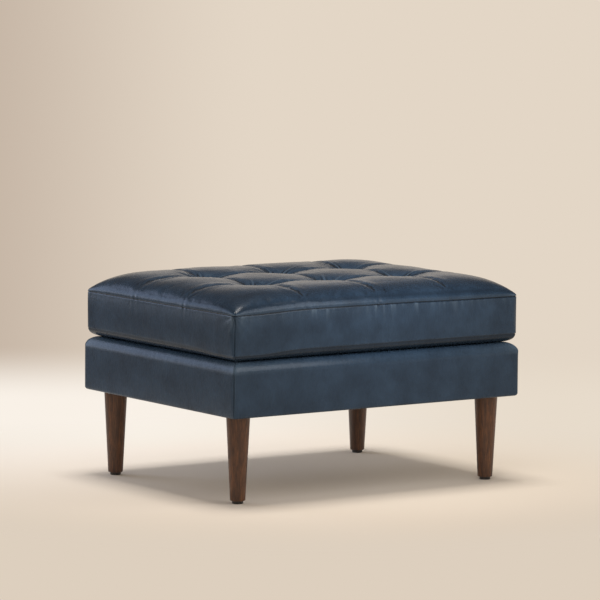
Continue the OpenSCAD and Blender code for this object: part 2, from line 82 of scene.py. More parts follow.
def colour(name, hex_colour, description):
    """Property that holds a colour given as an sRGB hex value."""
    settings = {"subtype": "COLOR", "size": 4, "min": 0, "max": 1}
    return FloatVectorProperty(name=name, description=description, default=linear(hex_colour), **settings)


class OttomanCushion(bpy.types.PropertyGroup):
    crown: length("Crown", 51, "Rise of the pillows above the top seam")
    edge_run: length("Edge run", 185, "Width of the edge over which the crown rises")
    rise_power: share("Rise power", 3.3, "Fullness of the crown near its edge")
    rise_blend: share("Rise blend", 0.4, "Sharpness of the crown where it leaves the seam")
    crease_depth_x: length("Crosswise crease", 7, "Depth of the creases that run front to back")
    crease_depth_y: length("Lengthwise crease", 8, "Depth of the creases that run left to right")
    crease_reach: length("Crease reach", 20, "Reach of a crease to its sides")
    crease_softness: length("Crease softness", 12, "Rounding of a crease far from its tufts")
    tuft_depth: length("Tuft depth", 24, "Extra depth of a tuft below its creases")
    tuft_reach: length("Tuft reach", 30, "Reach of the dimple round a tuft")
    tuft_pitch_x: length("Tuft pitch along", 200, "Spacing of the tufts along the long side")
    tuft_pitch_y: length("Tuft pitch across", 205, "Spacing of the tufts along the short side")
    tuft_fold: length("Tuft fold", 1.9, "Height of the folds that run out from a tuft beside its creases")
    filling_wave: length("Filling wave", 1.5, "Unevenness of the filling under the leather")
    seam_lift: length("Seam lift", 5, "Rise of the top seam between its corners on the long sides")
    side_pull: length("Side pull", 3, "Draw-in of the seams behind the fullest part of the boxing")
    corner_radius: length("Corner radius", 18, "Radius of the upright corners at their fullest")
    belly_run: length("Belly run", 28, "Run of the underside curve from the side to the flat")
    overhang: length("Overhang", 1.3, "Bulge of the top panel over its seam")
    seam_depth: length("Seam depth", 1.2, "Depth of the turned seams")
    seam_width: length("Seam width", 2.8, "Width of the turned seams")
    coarse_spacing: length("Coarse spacing", 5.2, "Spacing of the mesh lines over the pillows")
    fine_spacing: length("Fine spacing", 2, "Spacing of the mesh lines beside the creases")
    slot_depth: length("Zip slot depth", 3.2, "Depth of the slot that holds the zip")
    cloth_spacing: length("Cloth spacing", 5, "Spacing of the sheet that is settled as cloth")
    cloth_reach: length("Cloth reach", 3, "Furthest that the leather moves as it settles")
    cloth_spare: share("Spare cloth", 0.006, "Share by which the leather is larger than its place")


class OttomanBase(bpy.types.PropertyGroup):
    roll_radius: length("Roll radius", 29, "Radius of the padded roll round the top edge")
    hem_radius: length("Hem radius", 6, "Radius of the turned-under bottom edge")
    corner_radius: length("Corner radius", 10, "Radius of the upright corners")
    swell: length("Swell", 2.5, "Swell of the sides past their top and bottom edges")
    hem_width: length("Hem width", 30, "Width of leather turned under the rails")
    leather: length("Leather", 1.4, "Thickness of the leather as it shows")
    seam_depth: length("Seam depth", 1.1, "Depth of the upright corner seams")
    seam_lip: length("Seam lip", 0.9, "Rise of the leather beside a corner seam")
    waviness: length("Waviness", 0.5, "Height of the soft waves in the side leather")


class OttomanLegs(bpy.types.PropertyGroup):
    top_diameter: length("Top diameter", 54, "Diameter of a leg at its top")
    foot_diameter: length("Foot diameter", 34.5, "Diameter of a leg at its foot")
    edge: length("Edge", 1.2, "Eased edge round both ends of a leg")
    facets: IntProperty(name="Facets", description="Sides of a turned leg", default=96, min=12, max=256)


class OttomanTrim(bpy.types.PropertyGroup):
    stitch_pitch: length("Stitch pitch", 5, "Spacing of the topstitches")
    stitch_length: length("Stitch length", 3.8, "Length of a topstitch")
    thread: length("Thread", 0.8, "Diameter of the sewing thread")
    stitch_margin: length("Stitch margin", 3, "Distance of the topstitches from the zip slot")
    coil_pitch: length("Coil pitch", 2, "Spacing of the zip coil turns, drawn a little wide")
    staple_pitch: length("Staple pitch", 38, "Spacing of the staples in the dust cover")
    staple_width: length("Staple width", 10, "Width of a staple crown")


class OttomanColours(bpy.types.PropertyGroup):
    leather_deep: colour("Leather, deep", "233344", "Navy of the leather where the dye lies deep")
    leather_light: colour("Leather, light", "304357", "Navy of the leather where it is pulled light")
    # Colour of the painted highlights, and of rubbed wear on the base's roll
    leather_highlight_and_wear: colour("Leather, worn", "5a6b7b", "Navy rubbed light along edges and folds")
    # Colour of the painted shade in the seams, hollows, slopes and underside
    leather_seam_shade: colour("Leather, seam", "10171f", "Navy in the depth of the turned seams")
    walnut_dark: colour("Walnut, dark", "24140d", "Pores and late wood of the stained legs")
    walnut_mid: colour("Walnut, middle", "4b2c17", "Body colour of the stained legs")
    walnut_light: colour("Walnut, light", "6f4424", "Early wood of the stained legs")
    # The floor and wall colours paint the studio's light: brighter behind the object on the left, painted
    # shade in front, at the wall's left and far out to the left
    floor_left: colour("Floor, left", "f9f1e7", "Bright floor behind the object, on its left")
    floor_right: colour("Floor, right", "e7dbcb", "Bright floor behind the object, on its right")
    floor_near: colour("Floor, near", "ddcfbe", "Floor in front of the object")
    floor_aside: colour("Floor, aside", "9c8f82", "Floor far out to the left, outside the main view")
    wall_left: colour("Wall, left", "c0af9f", "Far background at its left edge")
    wall_right: colour("Wall, right", "e3d6c6", "Far background from its middle to its right edge")
    studio: colour("Studio", "6b635b", "Unlit studio high above the floor")


class OttomanStage(bpy.types.PropertyGroup):
    floor_radius: length("Floor radius", 60000, "Radius of the floor")
    overhead_power: share("Overhead power", 155, "Power of the softbox straight above, in watts")
    front_power: share("Front power", 1.5, "Power of the small softbox close in front, in watts")
    window_power: share("Window power", 12.5, "Power of the cool softbox behind on the left, in watts")
    paper_gain: share("Paper gain", 1.08, "How much paler the floor is near the object, under its lights")
    low_light: share("Low light", 1.2, "Strength of the light that comes in level from all round")
    high_light: share("High light", 0.16, "Strength of the light that comes down from all round")


def sizes(group):
    """Property group of that name on the scene."""
    return getattr(bpy.context.scene, "ottoman_" + group)


# Materials


def add_node(tree, kind, inputs=(), out=None, **settings):
    """Output of a new node that gets its settings and links.

    The inputs are values or sockets to link, by name or in the order in which the node shows them. The
    output is the first that the node shows, or the one named. A kind without Node in it is a shader node's.
    """
    node = tree.nodes.new(kind if "Node" in kind else "ShaderNode" + kind)
    for name, value in settings.items():
        setattr(node, name, value)
    shown = [socket for socket in node.inputs if socket.enabled]
    for key, value in inputs.items() if isinstance(inputs, dict) else enumerate(inputs):
        socket = shown[key] if isinstance(key, int) else node.inputs[key]
        if isinstance(value, bpy.types.NodeSocket):
            tree.links.new(value, socket)
        else:
            socket.default_value = value
    return node.outputs[out] if out else next((socket for socket in node.outputs if socket.enabled), None)


def adder(owner):
    """Function that adds nodes to the emptied tree of a material or a world."""
    owner.use_nodes = True
    owner.node_tree.nodes.clear()
    return functools.partial(add_node, owner.node_tree)


def per(mm):
    """Texture scale at which a pattern's features are that many millimetres across."""
    return 1 / (mm * MM)


def graded(add, value, low, high, first, second):
    """Colour that turns smoothly from the first to the second as a value goes from low to high."""
    share_of_second = add("MapRange", (value, low, high, 0, 1), interpolation_type="SMOOTHSTEP")
    return add("Mix", (share_of_second, first, second), data_type="RGBA")


def navy_leather(add, place):
    """Pull-up leather, drum-dyed navy, plated and waxed.

    The dye pulls lighter in clouds and in faint upright streaks. Painted highlights lie on crests, folds and
    corners, in part standing for rubbed edges, and painted shade lies in the seams, hollows and underside.
    The wax gives a soft broad gloss. The pebbled grain is drawn at about twice its real size to show.
    """
    look = sizes("colours")
    upright = add("Mapping", {"Vector": place, "Scale": (1, 1, 0.4)})
    clouds = add("TexNoise", (place, per(60), 4, 0.6))
    mottle = add("TexNoise", (upright, per(7), 4, 0.62))
    tone = look.leather_deep
    for factor, dye in (
        (add("MapRange", (clouds, 0.32, 0.7, 0, 1)), look.leather_light),
        (add("MapRange", (mottle, 0.38, 0.7, 0, 0.4)), look.leather_deep),
        # Painted highlights on crests, folds and corners, with rubbed wear on the base's roll
        (add("Attribute", out="Fac", attribute_name="wear"), look.leather_highlight_and_wear),
        # Painted shade in the seams, the hollows, the slopes down to the seams and the underside
        (add("Attribute", out="Fac", attribute_name="seam"), look.leather_seam_shade),
    ):
        tone = add("Mix", (factor, tone, dye), data_type="RGBA")
    slant = add("LayerWeight", {"Blend": 0.5}, out="Facing")
    glossy = add("MapRange", (slant, 0.55, 0.95, 0.27, 0.24))
    patchy = add("MapRange", (mottle, 0.3, 0.7, -0.025, 0.035))
    pebbles = {"Vector": place, "Scale": per(2.2), "Smoothness": 0.6}
    grain = add("TexVoronoi", pebbles, feature="SMOOTH_F1")
    creases = add("TexNoise", (place, per(16), 5, 0.55))
    broad = add("Bump", {"Strength": 0.3, "Distance": 1.2 * MM, "Height": creases})
    fine = {"Strength": 0.3, "Distance": 0.25 * MM, "Height": grain, "Normal": broad}
    return {
        "Base Color": tone,
        "Roughness": add("Math", (glossy, patchy), operation="ADD"),
        "Normal": add("Bump", fine, invert=True),
        "IOR": 1.5,
        "Specular IOR Level": 0.22,
    }


def stained_walnut(add, place):
    """Turned walnut, stained and satin lacquered: long fine grain, dark open pores and reddish early wood."""
    look = sizes("colours")
    along, long_along = (
        add("Mapping", {"Vector": place, "Scale": (1, 1, stretch)}) for stretch in (0.07, 0.025)
    )
    banding = {"Vector": along, "Scale": per(11), "Detail": 4, "Roughness": 0.6, "Distortion": 0.6}
    figure = add("TexNoise", banding)
    fibres = add("TexNoise", (long_along, per(1.6), 3, 0.7))
    pores = add("TexNoise", (along, per(1.1), 2))
    tone = look.walnut_mid
    for reading, stain in (
        ((figure, 0.36, 0.66, 0, 1), look.walnut_light),
        ((fibres, 0.36, 0.66, 0, 0.85), look.walnut_dark),
        ((pores, 0.6, 0.7, 0, 0.8), look.walnut_dark),
    ):
        factor = add("MapRange", reading)
        tone = add("Mix", (factor, tone, stain), data_type="RGBA")
    return {
        "Base Color": tone,
        "Roughness": add("MapRange", (fibres, 0.3, 0.7, 0.34, 0.48)),
        "Normal": add("Bump", {"Strength": 0.3, "Distance": 0.2 * MM, "Height": fibres}),
        "IOR": 1.5,
    }


def plain_weave(warp, weft, thread_mm, rough):
    """Plain-woven cloth: warp and weft threads pass over and under each other at that thread spacing."""

    def make(add, place):
        threads = [
            add("TexWave", (place, per(thread_mm) / 20), out="Fac", bands_direction=axis)
            for axis in "XY"
        ]
        over = add("Math", threads, operation="GREATER_THAN")
        height = add("Math", threads, operation="MAXIMUM")
        dirt = add("TexNoise", (place, per(22), 3))
        shade = add("MapRange", (dirt, 0.3, 0.7, 0, 0.35))
        cloth = add("Mix", (over, linear(warp), linear(weft)), data_type="RGBA")
        return {
            "Base Color": add("Mix", (shade, cloth, linear(warp)), data_type="RGBA"),
            "Roughness": rough,
            "Normal": add("Bump", {"Strength": 0.6, "Distance": 0.25 * MM, "Height": height}),
            "Sheen Weight": 0.15,
        }

    return make


def moulded_nylon(body, rough):
    """Nylon, injection moulded or drawn: even colour with a fine mould texture and a few scuffs."""

    def make(add, place):
        texture = add("TexNoise", (place, per(0.8), 2))
        scuffs = add("TexNoise", (place, per(6), 4))
        scuffed = add("MapRange", (scuffs, 0.5, 0.8, 0, 0.4))
        return {
            "Base Color": add("Mix", (scuffed, linear(body), linear("6a6663")), data_type="RGBA"),
            "Roughness": add("MapRange", (scuffs, 0.3, 0.7, rough, rough + 0.15)),
            "Normal": add("Bump", {"Strength": 0.3, "Distance": 0.1 * MM, "Height": texture}),
        }

    return make


def one_texture(kind, mm, colours, rough, relief=None, stretch=(1, 1, 1), metallic=0, **inputs):
    """Material whose colour follows one texture with features of that size.

    Its gloss follows it too where rough is a reading of the texture, and its surface where relief gives a
    strength and a depth in millimetres.
    """

    def make(add, place):
        drawn = add("Mapping", {"Vector": place, "Scale": stretch})
        pattern = add(kind, {"Vector": drawn, "Scale": per(mm), **inputs})
        tones = [linear(tone) for tone in colours]
        surface = {"Base Color": add("Mix", (pattern, *tones), data_type="RGBA")}
        surface["Metallic"] = metallic
        surface["Roughness"] = rough
        if isinstance(rough, tuple):
            surface["Roughness"] = add("MapRange", (pattern, *rough))
        if relief:
            dents = {"Strength": relief[0], "Distance": relief[1] * MM, "Height": pattern}
            surface["Normal"] = add("Bump", dents)
        return surface

    return make


def matted_fibre(deep, light, fibre_mm, rough):
    """Fibres laid at random and bonded or blown, as in felt, wadding and spun-bonded cloth."""
    return one_texture("TexNoise", fibre_mm, (deep, light), rough, (0.5, 0.4), Detail=5, Distortion=1.5)


PINE_GRAIN = {"relief": (0.2, 0.2), "stretch": (0.08, 0.08, 1), "Detail": 3, "Distortion": 0.8}
FINISHES = {
    "navy_leather": ("navy_pull_up_leather", navy_leather),
    "leg_walnut": ("stained_walnut_satin", stained_walnut),
    # Kiln-dried pine, planed: pale straw wood with wide soft bands along the rail
    "frame_timber": ("planed_pine", one_texture("TexNoise", 9, ("a87f4f", "d9b88a"), 0.6, **PINE_GRAIN)),
    # Zinc-plated steel: pale bluish grey metal with a fine spangle of duller patches
    "zinc_steel": (
        "zinc_plated_steel",
        one_texture("TexVoronoi", 1.5, ("9a9ea3", "c3c7cb"), (0, 1, 0.28, 0.5), metallic=1),
    ),
    "webbing": ("woven_jute_webbing", plain_weave("8a6a42", "b79a6a", 2.5, 0.9)),
    "hessian": ("woven_hessian", plain_weave("9b7f50", "c4a976", 1.8, 0.95)),
    # Polyurethane foam, saw-cut: pale cream with small open cells
    "foam": ("cut_polyurethane_foam", one_texture("TexVoronoi", 1.8, ("c9b98a", "ece1bd"), 0.9, (0.6, 0.4))),
    "wadding": ("blown_polyester_wadding", matted_fibre("d8d8d4", "f4f4f2", 3, 0.95)),
    "platform_cloth": ("woven_platform_cloth", plain_weave("25282b", "3a3e42", 1.2, 0.85)),
    "dust_cloth": ("spun_bonded_dust_cloth", matted_fibre("17181a", "2b2d30", 1.5, 0.8)),
    "glide_nylon": ("moulded_nylon_glide", moulded_nylon("1d1a18", 0.4)),
    "twine": ("waxed_nylon_twine", moulded_nylon("d8d2c2", 0.45)),
    "felt": ("pressed_wool_felt", matted_fibre("7c7d80", "a2a3a6", 1.2, 0.95)),
    "zip_tape": ("woven_zip_tape", plain_weave("171b20", "262c33", 0.9, 0.8)),
    "zip_coil": ("drawn_nylon_coil", moulded_nylon("232930", 0.35)),
    # Zinc alloy, die cast and nickel plated: grey metal with duller spots where it is rubbed
    "zip_metal": (
        "die_cast_zinc",
        one_texture("TexNoise", 2.5, ("84878c", "b0b3b8"), (0.3, 0.7, 0.22, 0.42), metallic=1, Detail=3),
    ),
    "thread": ("bonded_polyester_thread", matted_fibre("25303a", "3b4854", 0.6, 0.6)),
}


def new_material(name, make):
    """Material from a maker that gives a whole shader, or what goes into the plain one."""
    material = bpy.data.materials.new(name)
    add = adder(material)
    surface = make(add, add("TexCoord", out="Object"))
    if isinstance(surface, dict):
        surface = add("BsdfPrincipled", surface)
    add("OutputMaterial", (surface,))
    return material


@functools.cache
def finish_of(finish):
    """Material of that finish, made when it is first asked for."""
    return new_material(*FINISHES[finish])


def dress_node(node, finish):
    """Gives a carried-over CAD node its finish."""
    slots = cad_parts[node].data.materials
    slots.clear()
    slots.append(finish_of(finish))


# Meshes


def span(*nodes):
    """Lowest and highest corner of several CAD nodes together."""
    boxes = [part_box(node) for node in nodes]
    low = Vector([min(box[0][i] for box in boxes) for i in range(3)])
    high = Vector([max(box[1][i] for box in boxes) for i in range(3)])
    return low, high


def new_object(name, data):
    """Object on the scene for its data."""
    made = bpy.data.objects.new(name, data)
    bpy.context.scene.collection.objects.link(made)
    return made


def mesh_from(name, work):
    """Mesh of the faces in work, which are then let go."""
    mesh = bpy.data.meshes.new(name)
    work.to_mesh(mesh)
    work.free()
    return mesh


def new_piece(name, points, faces, finish, body, replaced=()):
    """Smooth-shaded mesh piece that rides on a body and stands for the CAD nodes it replaces."""
    mesh = bpy.data.meshes.new(name)
    mesh.from_pydata(np.asarray(points).tolist(), [], faces)
    mesh.shade_smooth()
    return place_mesh(name, mesh, finish, body, replaced)


def place_mesh(name, mesh, finish, body, replaced=()):
    """Object for a finished mesh, with its material, body and replaced nodes."""
    if not mesh.polygons:
        raise RuntimeError(name + " has no faces")
    piece = new_object(name, mesh)
    mesh.materials.clear()
    mesh.materials.append(finish_of(finish))
    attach(piece, body)
    {"thread": "twine"}.get(finish, finish)
    if replaced:
        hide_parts(*replaced)
    return piece


def write_light_and_wear(piece, wear):
    """Stores how light each vertex is painted, from a value in -1 to 1: above 0 a painted highlight, in
    places also rubbed wear, and below 0 painted shade, deepest in the seams.
    """
    for name, values in (("wear", wear), ("seam", -wear)):
        attribute = piece.data.attributes.new(name, "FLOAT", "POINT")
        attribute.data.foreach_set("value", np.clip(values, 0, 1).astype(np.float32))


def wall_quads(rings):
    """Faces between rings of vertex numbers, from the upper ring down, each counter-clockwise from above."""
    faces = []
    for upper, lower in zip(rings, rings[1:]):
        next_upper, next_lower = np.roll(upper, -1), np.roll(lower, -1)
        faces.append(np.stack([upper, lower, next_lower, next_upper], axis=1))
    return np.concatenate(faces)


def smooth_noise(points, size, seed):
    """Smooth noise from about -1 to 1 at rows of points, with bumps about that size."""
    offset = Vector((seed * 17.3, seed * 5.1, seed * 11.7))
    return np.array([noise.noise(Vector(p) / size + offset) for p in points])


def near(distance, reach):
    """Soft bump that is 1 at no distance and falls off over a reach."""
    return np.exp(-((distance / reach) ** 2))


def soft_step(value, low, high):
    """Smooth change from 0 at the low value to 1 at the high value."""
    t = np.clip((value - low) / (high - low), 0, 1)
    return t * t * (3 - 2 * t)


# Tufted cushion


BOXING = ("front_boxing", "back_boxing", "left_boxing", "right_boxing")
# Distance from a tuft over which its creases turn soft, and past the outer ones over which they grow shallow
SOFTENING_REACH = 60 * MM
SHALLOWING_REACH = 70 * MM
# Distance from a tuft at which its small ridges are highest
RIDGE_REACH = 17 * MM
# Distance from the seam over which the top stops following its rise
SEAM_FADE = 60 * MM
# Grid lines beside a seam: their number, the first one's distance, the growth of their gaps and their band
EDGE_LINES, FIRST_EDGE, EDGE_GROWTH, EDGE_BAND = 12, 1.6 * MM, 1.26, 24 * MM
# Deepest fold and tightest corner that the filling leaves room for
DEEPEST_FOLD = -1.3 * MM
TIGHTEST_CORNER = 3 * MM
# How far in from each side a round corner of radius 1 is halfway round
CORNER_CUT = 1 - math.sqrt(0.5)


class TuftedTop:
    """Form of the tufted top, worked out from the cushion's sizes."""

    def __init__(self, cushion, seam_half):
        self.cushion = cushion
        self.half = seam_half
        self.crease_xs = [i * cushion.tuft_pitch_x for i in (-1, 0, 1)]
        self.crease_ys = [i * cushion.tuft_pitch_y for i in (-0.5, 0.5)]
        self.tufts = [(x, y) for x in self.crease_xs for y in self.crease_ys]

    def edge_rise(self, distance):
        """Rise of the top at a distance from its seam, as a share of the crown."""
        c = self.cushion
        inside = np.clip(distance / c.edge_run, 0, 1)
        return (1 - (1 - inside) ** c.rise_power) ** c.rise_blend

    def fullness(self, x, y):
        """Share of the crown that the four edges leave at a place."""
        return self.edge_rise(self.half.x - abs(x)) * self.edge_rise(self.half.y - abs(y))

    def from_seam(self, x, y):
        """Distance from a place to the nearest seam."""
        return np.minimum(self.half.x - abs(x), self.half.y - abs(y))

    def distances(self, x, y):
        """Distances from a place to the nearest tuft and to the nearest crease."""
        to_tuft = np.min([np.hypot(x - a, y - b) for a, b in self.tufts], axis=0)
        return to_tuft, np.minimum(gap_to(x, self.crease_xs), gap_to(y, self.crease_ys))

    def height(self, x, y):
        """Height of the leather over the top seam, without its folds."""
        c = self.cushion
        away_tuft = self.distances(x, y)[0]
        soft = c.crease_softness * (1 - np.exp(-away_tuft / SOFTENING_REACH))
        away_x, away_y = (
            np.sqrt(gap_to(place, lines) ** 2 + soft**2) - soft
            for place, lines in ((x, self.crease_xs), (y, self.crease_ys))
        )
        fade_x, fade_y = (
            0.3 + 0.7 * np.exp(-np.clip(abs(place) - max(lines), 0, None) / SHALLOWING_REACH)
            for place, lines in ((y, self.crease_ys), (x, self.crease_xs))
        )
        body = (
            c.crown
            - c.crease_depth_x * fade_x * np.exp(-away_x / c.crease_reach)
            - c.crease_depth_y * fade_y * np.exp(-away_y / c.crease_reach)
            - c.tuft_depth * np.exp(-away_tuft / c.tuft_reach)
        )
        return self.fullness(x, y) * body

    def seam_rise(self, x):
        """Rise of the seam: none at the left corners, most in the middle and part of it at the right."""
        fall = 0.4 * soft_step(x, 60 * MM, 240 * MM)
        return self.cushion.seam_lift * (soft_step(x, -350 * MM, -190 * MM) - fall)

    def edge_lift(self, x, y):
        """How much of the seam's rise the top follows, which fades away from the seam."""
        return self.seam_rise(x) * np.exp(-self.from_seam(x, y) / SEAM_FADE)

    def bulge(self, rise):
        """Bulge of the top panel over its seam, at a height above it."""
        share_up = np.maximum(rise, 0) / (7 * MM)
        return self.cushion.overhang * share_up * np.exp(1 - share_up)

    def corner_radius(self, full):
        """Radius of the upright corners where the side stands that far out from its seams."""
        c = self.cushion
        return max((full - c.side_pull) / CORNER_CUT + c.corner_radius, TIGHTEST_CORNER)

    def folds(self, x, y):
        """Unevenness of the filling, and folds that run out from each tuft on both sides of its creases."""
        c = self.cushion
        flat = np.stack([x.ravel(), y.ravel(), np.zeros(x.size)], axis=1)
        drawn = c.filling_wave * smooth_noise(flat, 95 * MM, 3).reshape(x.shape)
        chance = np.random.default_rng(12)
        for number, (a, b) in enumerate(self.tufts):
            radius = np.hypot(x - a, y - b)
            turn = np.arctan2(y - b, x - a)
            rays = np.stack([np.cos(turn), np.sin(turn), radius / (70 * MM)], axis=-1).reshape(-1, 3)
            ridges = smooth_noise(rays, 0.36, 20 + number).reshape(x.shape)
            drawn += 1.1 * MM * ridges * radius / RIDGE_REACH * np.exp(1 - radius / RIDGE_REACH)
            for quarter in range(4):
                for side in (-1, 1):
                    lean, strength, reach, width = chance.uniform((0.14, 0.5, 14, 2.2), (0.5, 1.2, 28, 3.4))
                    heading = quarter * math.pi / 2 + side * lean
                    along = (x - a) * math.cos(heading) + (y - b) * math.sin(heading)
                    across = (y - b) * math.cos(heading) - (x - a) * math.sin(heading)
                    grow_out = np.clip(along, 0, None) / (reach * MM) * np.exp(1 - along / (reach * MM))
                    drawn += c.tuft_fold * strength * grow_out * near(across, width * MM)
        return (drawn + self.puckers(x, y)) * self.fullness(x, y)

    def puckers(self, x, y):
        """Pinches where the creases end at the seams: a short sharp fold with a fuller pad beside it."""
        drawn = np.zeros_like(x)
        for along, lines, across, reach in (
            (x, self.crease_xs, self.half.y - abs(y), 1),
            (y, self.crease_ys, self.half.x - abs(x), -1),
        ):
            for line in lines:
                offset = (along - line) * reach
                pinch = -1.3 * MM * near(offset, 3 * MM) + 2.4 * MM * near(offset - 8 * MM, 6 * MM)
                drawn += (pinch + 1.1 * MM * near(offset + 9 * MM, 7 * MM)) * np.exp(-across / (13 * MM))
        return drawn


def gap_to(place, lines):
    """Distance from each place to the nearest of several lines."""
    return np.min([abs(place - line) for line in lines], axis=0)


def bend_of(heights, xs, ys):
    """How hollow (above 0) or crested (below 0) a grid of heights is, for each metre."""
    slope_y, slope_x = np.gradient(heights, ys, xs)
    return np.gradient(slope_x, xs, axis=1) + np.gradient(slope_y, ys, axis=0)


def grid_lines(half, creases, stops, coarse, fine, edges):
    """Places of grid lines across a width: through every crease and stop, closer by the creases and edges."""
    inner = half - edges[-1]
    marks = sorted({-inner, inner, *creases, *stops})
    places = [marks[0]]
    for start, end in zip(marks, marks[1:]):
        path = np.linspace(start, end, 400)
        density = 1 / (fine + (coarse - fine) * soft_step(gap_to(path, creases), 28 * MM, 70 * MM))
        total = np.concatenate([[0], np.cumsum((density[1:] + density[:-1]) / 2 * np.diff(path))])
        count = max(1, round(total[-1]))
        places += np.interp(np.arange(1, count + 1) / count * total[-1], total, path).tolist()
    rim = [half - edge for edge in edges[:-1]]
    return np.array([-p for p in rim] + places + rim[::-1])


def round_corners(x, y, half_x, half_y, radius):
    """Points of a rectangle moved onto the same rectangle with round corners."""
    over_x = np.maximum(abs(x) - half_x + radius, 0)
    over_y = np.maximum(abs(y) - half_y + radius, 0)
    both = np.minimum(over_x, over_y) > 0
    shrink = np.where(both, np.maximum(over_x, over_y) / np.maximum(np.hypot(over_x, over_y), 1e-9), 1)
    return np.sign(x) * (abs(x) - over_x * (1 - shrink)), np.sign(y) * (abs(y) - over_y * (1 - shrink))


def border_of(rows, columns):
    """Numbers of the border points of a grid, counter-clockwise seen from above."""
    numbers = np.arange(rows * columns).reshape(rows, columns)
    return np.concatenate([numbers[0], numbers[1:, -1], numbers[-1, -2::-1], numbers[-2:0:-1, 0]])


def grid_quads(rows, columns):
    """Upward faces of a grid of points."""
    numbers = np.arange(rows * columns).reshape(rows, columns)
    corners = numbers[:-1, :-1], numbers[:-1, 1:], numbers[1:, 1:], numbers[1:, :-1]
    return np.stack([corner.ravel() for corner in corners], axis=1)


CLOTH = {
    "quality": 6,
    "mass": 0.4,
    "tension_stiffness": 20,
    "compression_stiffness": 12,
    "shear_stiffness": 6,
    "bending_stiffness": 0.6,
    "use_pressure": True,
    "uniform_pressure_force": 3,
}
CLOTH_FRAMES = 20
# How firmly and how far beside it a crease holds the sheet, the radius that a tuft holds fast, and the
# weakest hold that counts
CREASE_HOLD, CREASE_HOLD_REACH, TUFT_HOLD_RADIUS, LEAST_HOLD = 0.35, 5 * MM, 7 * MM, 0.02
# Share of the cloth's settling that shows upwards and sideways
SETTLED_UP, SETTLED_ASIDE = 0.8, 0.4
# How far the pillows are let down, and how far the leather may sink by a crease and, further, on a pillow
PILLOW_DROP, CREASE_SINK, PILLOW_SINK = 1.5 * MM, 0.1 * MM, 1.0 * MM
# Distance from the seam over which its bulge fades, and the bend for each metre up to which wear is even
BULGE_FADE = 12 * MM
PLAIN_BEND = 8
# Rings of the collar as shares of its height, and of the flat underside as shares of its width
COLLAR_SHARES = 0.78, 0.55, 0.36, 0.2, 0.1
UNDERSIDE_SHARES = 0.8, 0.6, 0.4, 0.2, 0.05
# Depths of the boxing's rings below its top seam and their heights above its lower one
UPPER_RINGS_MM = 1.1, 2.4, 4.2, 6.6, 9.5, 13, 18, 24, 30
LOWER_RINGS_MM = 31, 25, 19, 14, 9.5, 6, 3.6, 2.2, 1.1


def settled_sheet(cushion, top):
    """Shift of the top leather as it settles as cloth, on a grid of its own.

    The sheet is held at its seam and its tufts and a little at its creases, and the filling presses it up.
    """
    xs, ys = (
        np.linspace(-half, half, round(2 * half / cushion.cloth_spacing) + 1)
        for half in (top.half.x, top.half.y)
    )
    grid_x, grid_y = np.meshgrid(xs, ys)
    start = np.stack([grid_x, grid_y, top.height(grid_x, grid_y)], axis=-1)
    mesh = bpy.data.meshes.new("settling_sheet")
    mesh.from_pydata(start.reshape(-1, 3).tolist(), [], grid_quads(*grid_x.shape).tolist())
    sheet = new_object("settling_sheet", mesh)
    to_tuft, to_crease = top.distances(grid_x, grid_y)
    hold = CREASE_HOLD * near(to_crease, CREASE_HOLD_REACH)
    hold[to_tuft < TUFT_HOLD_RADIUS] = 1
    hold[[0, -1], :] = 1
    hold[:, [0, -1]] = 1
    held = sheet.vertex_groups.new(name="held")
    for number, weight in enumerate(hold.ravel()):
        if weight > LEAST_HOLD:
            held.add([number], float(weight), "REPLACE")
    settings = sheet.modifiers.new("cloth", "CLOTH").settings
    for name, value in CLOTH.items():
        setattr(settings, name, value)
    settings.shrink_min = -cushion.cloth_spare
    settings.vertex_group_mass = held.name
    settings.effector_weights.gravity = 0
    scene = bpy.context.scene
    for frame_number in range(1, CLOTH_FRAMES + 1):
        scene.frame_set(frame_number)
    settled = sheet.evaluated_get(bpy.context.evaluated_depsgraph_get()).data
    places = np.empty(3 * len(settled.vertices), dtype=np.float32)
    settled.vertices.foreach_get("co", places)
    shift = places.reshape(start.shape).astype(float) - start
    bpy.data.objects.remove(sheet)
    scene.frame_set(1)
    moved = np.linalg.norm(shift, axis=-1, keepdims=True)
    return xs, ys, shift * np.minimum(1, cushion.cloth_reach / np.maximum(moved, 1e-9))


def resampled(values, from_xs, from_ys, to_xs, to_ys):
    """Values on one grid, read at the lines of another grid."""
    columns = np.array([np.interp(to_xs, from_xs, row) for row in values])
    return np.array([np.interp(to_ys, from_ys, column) for column in columns.T]).T


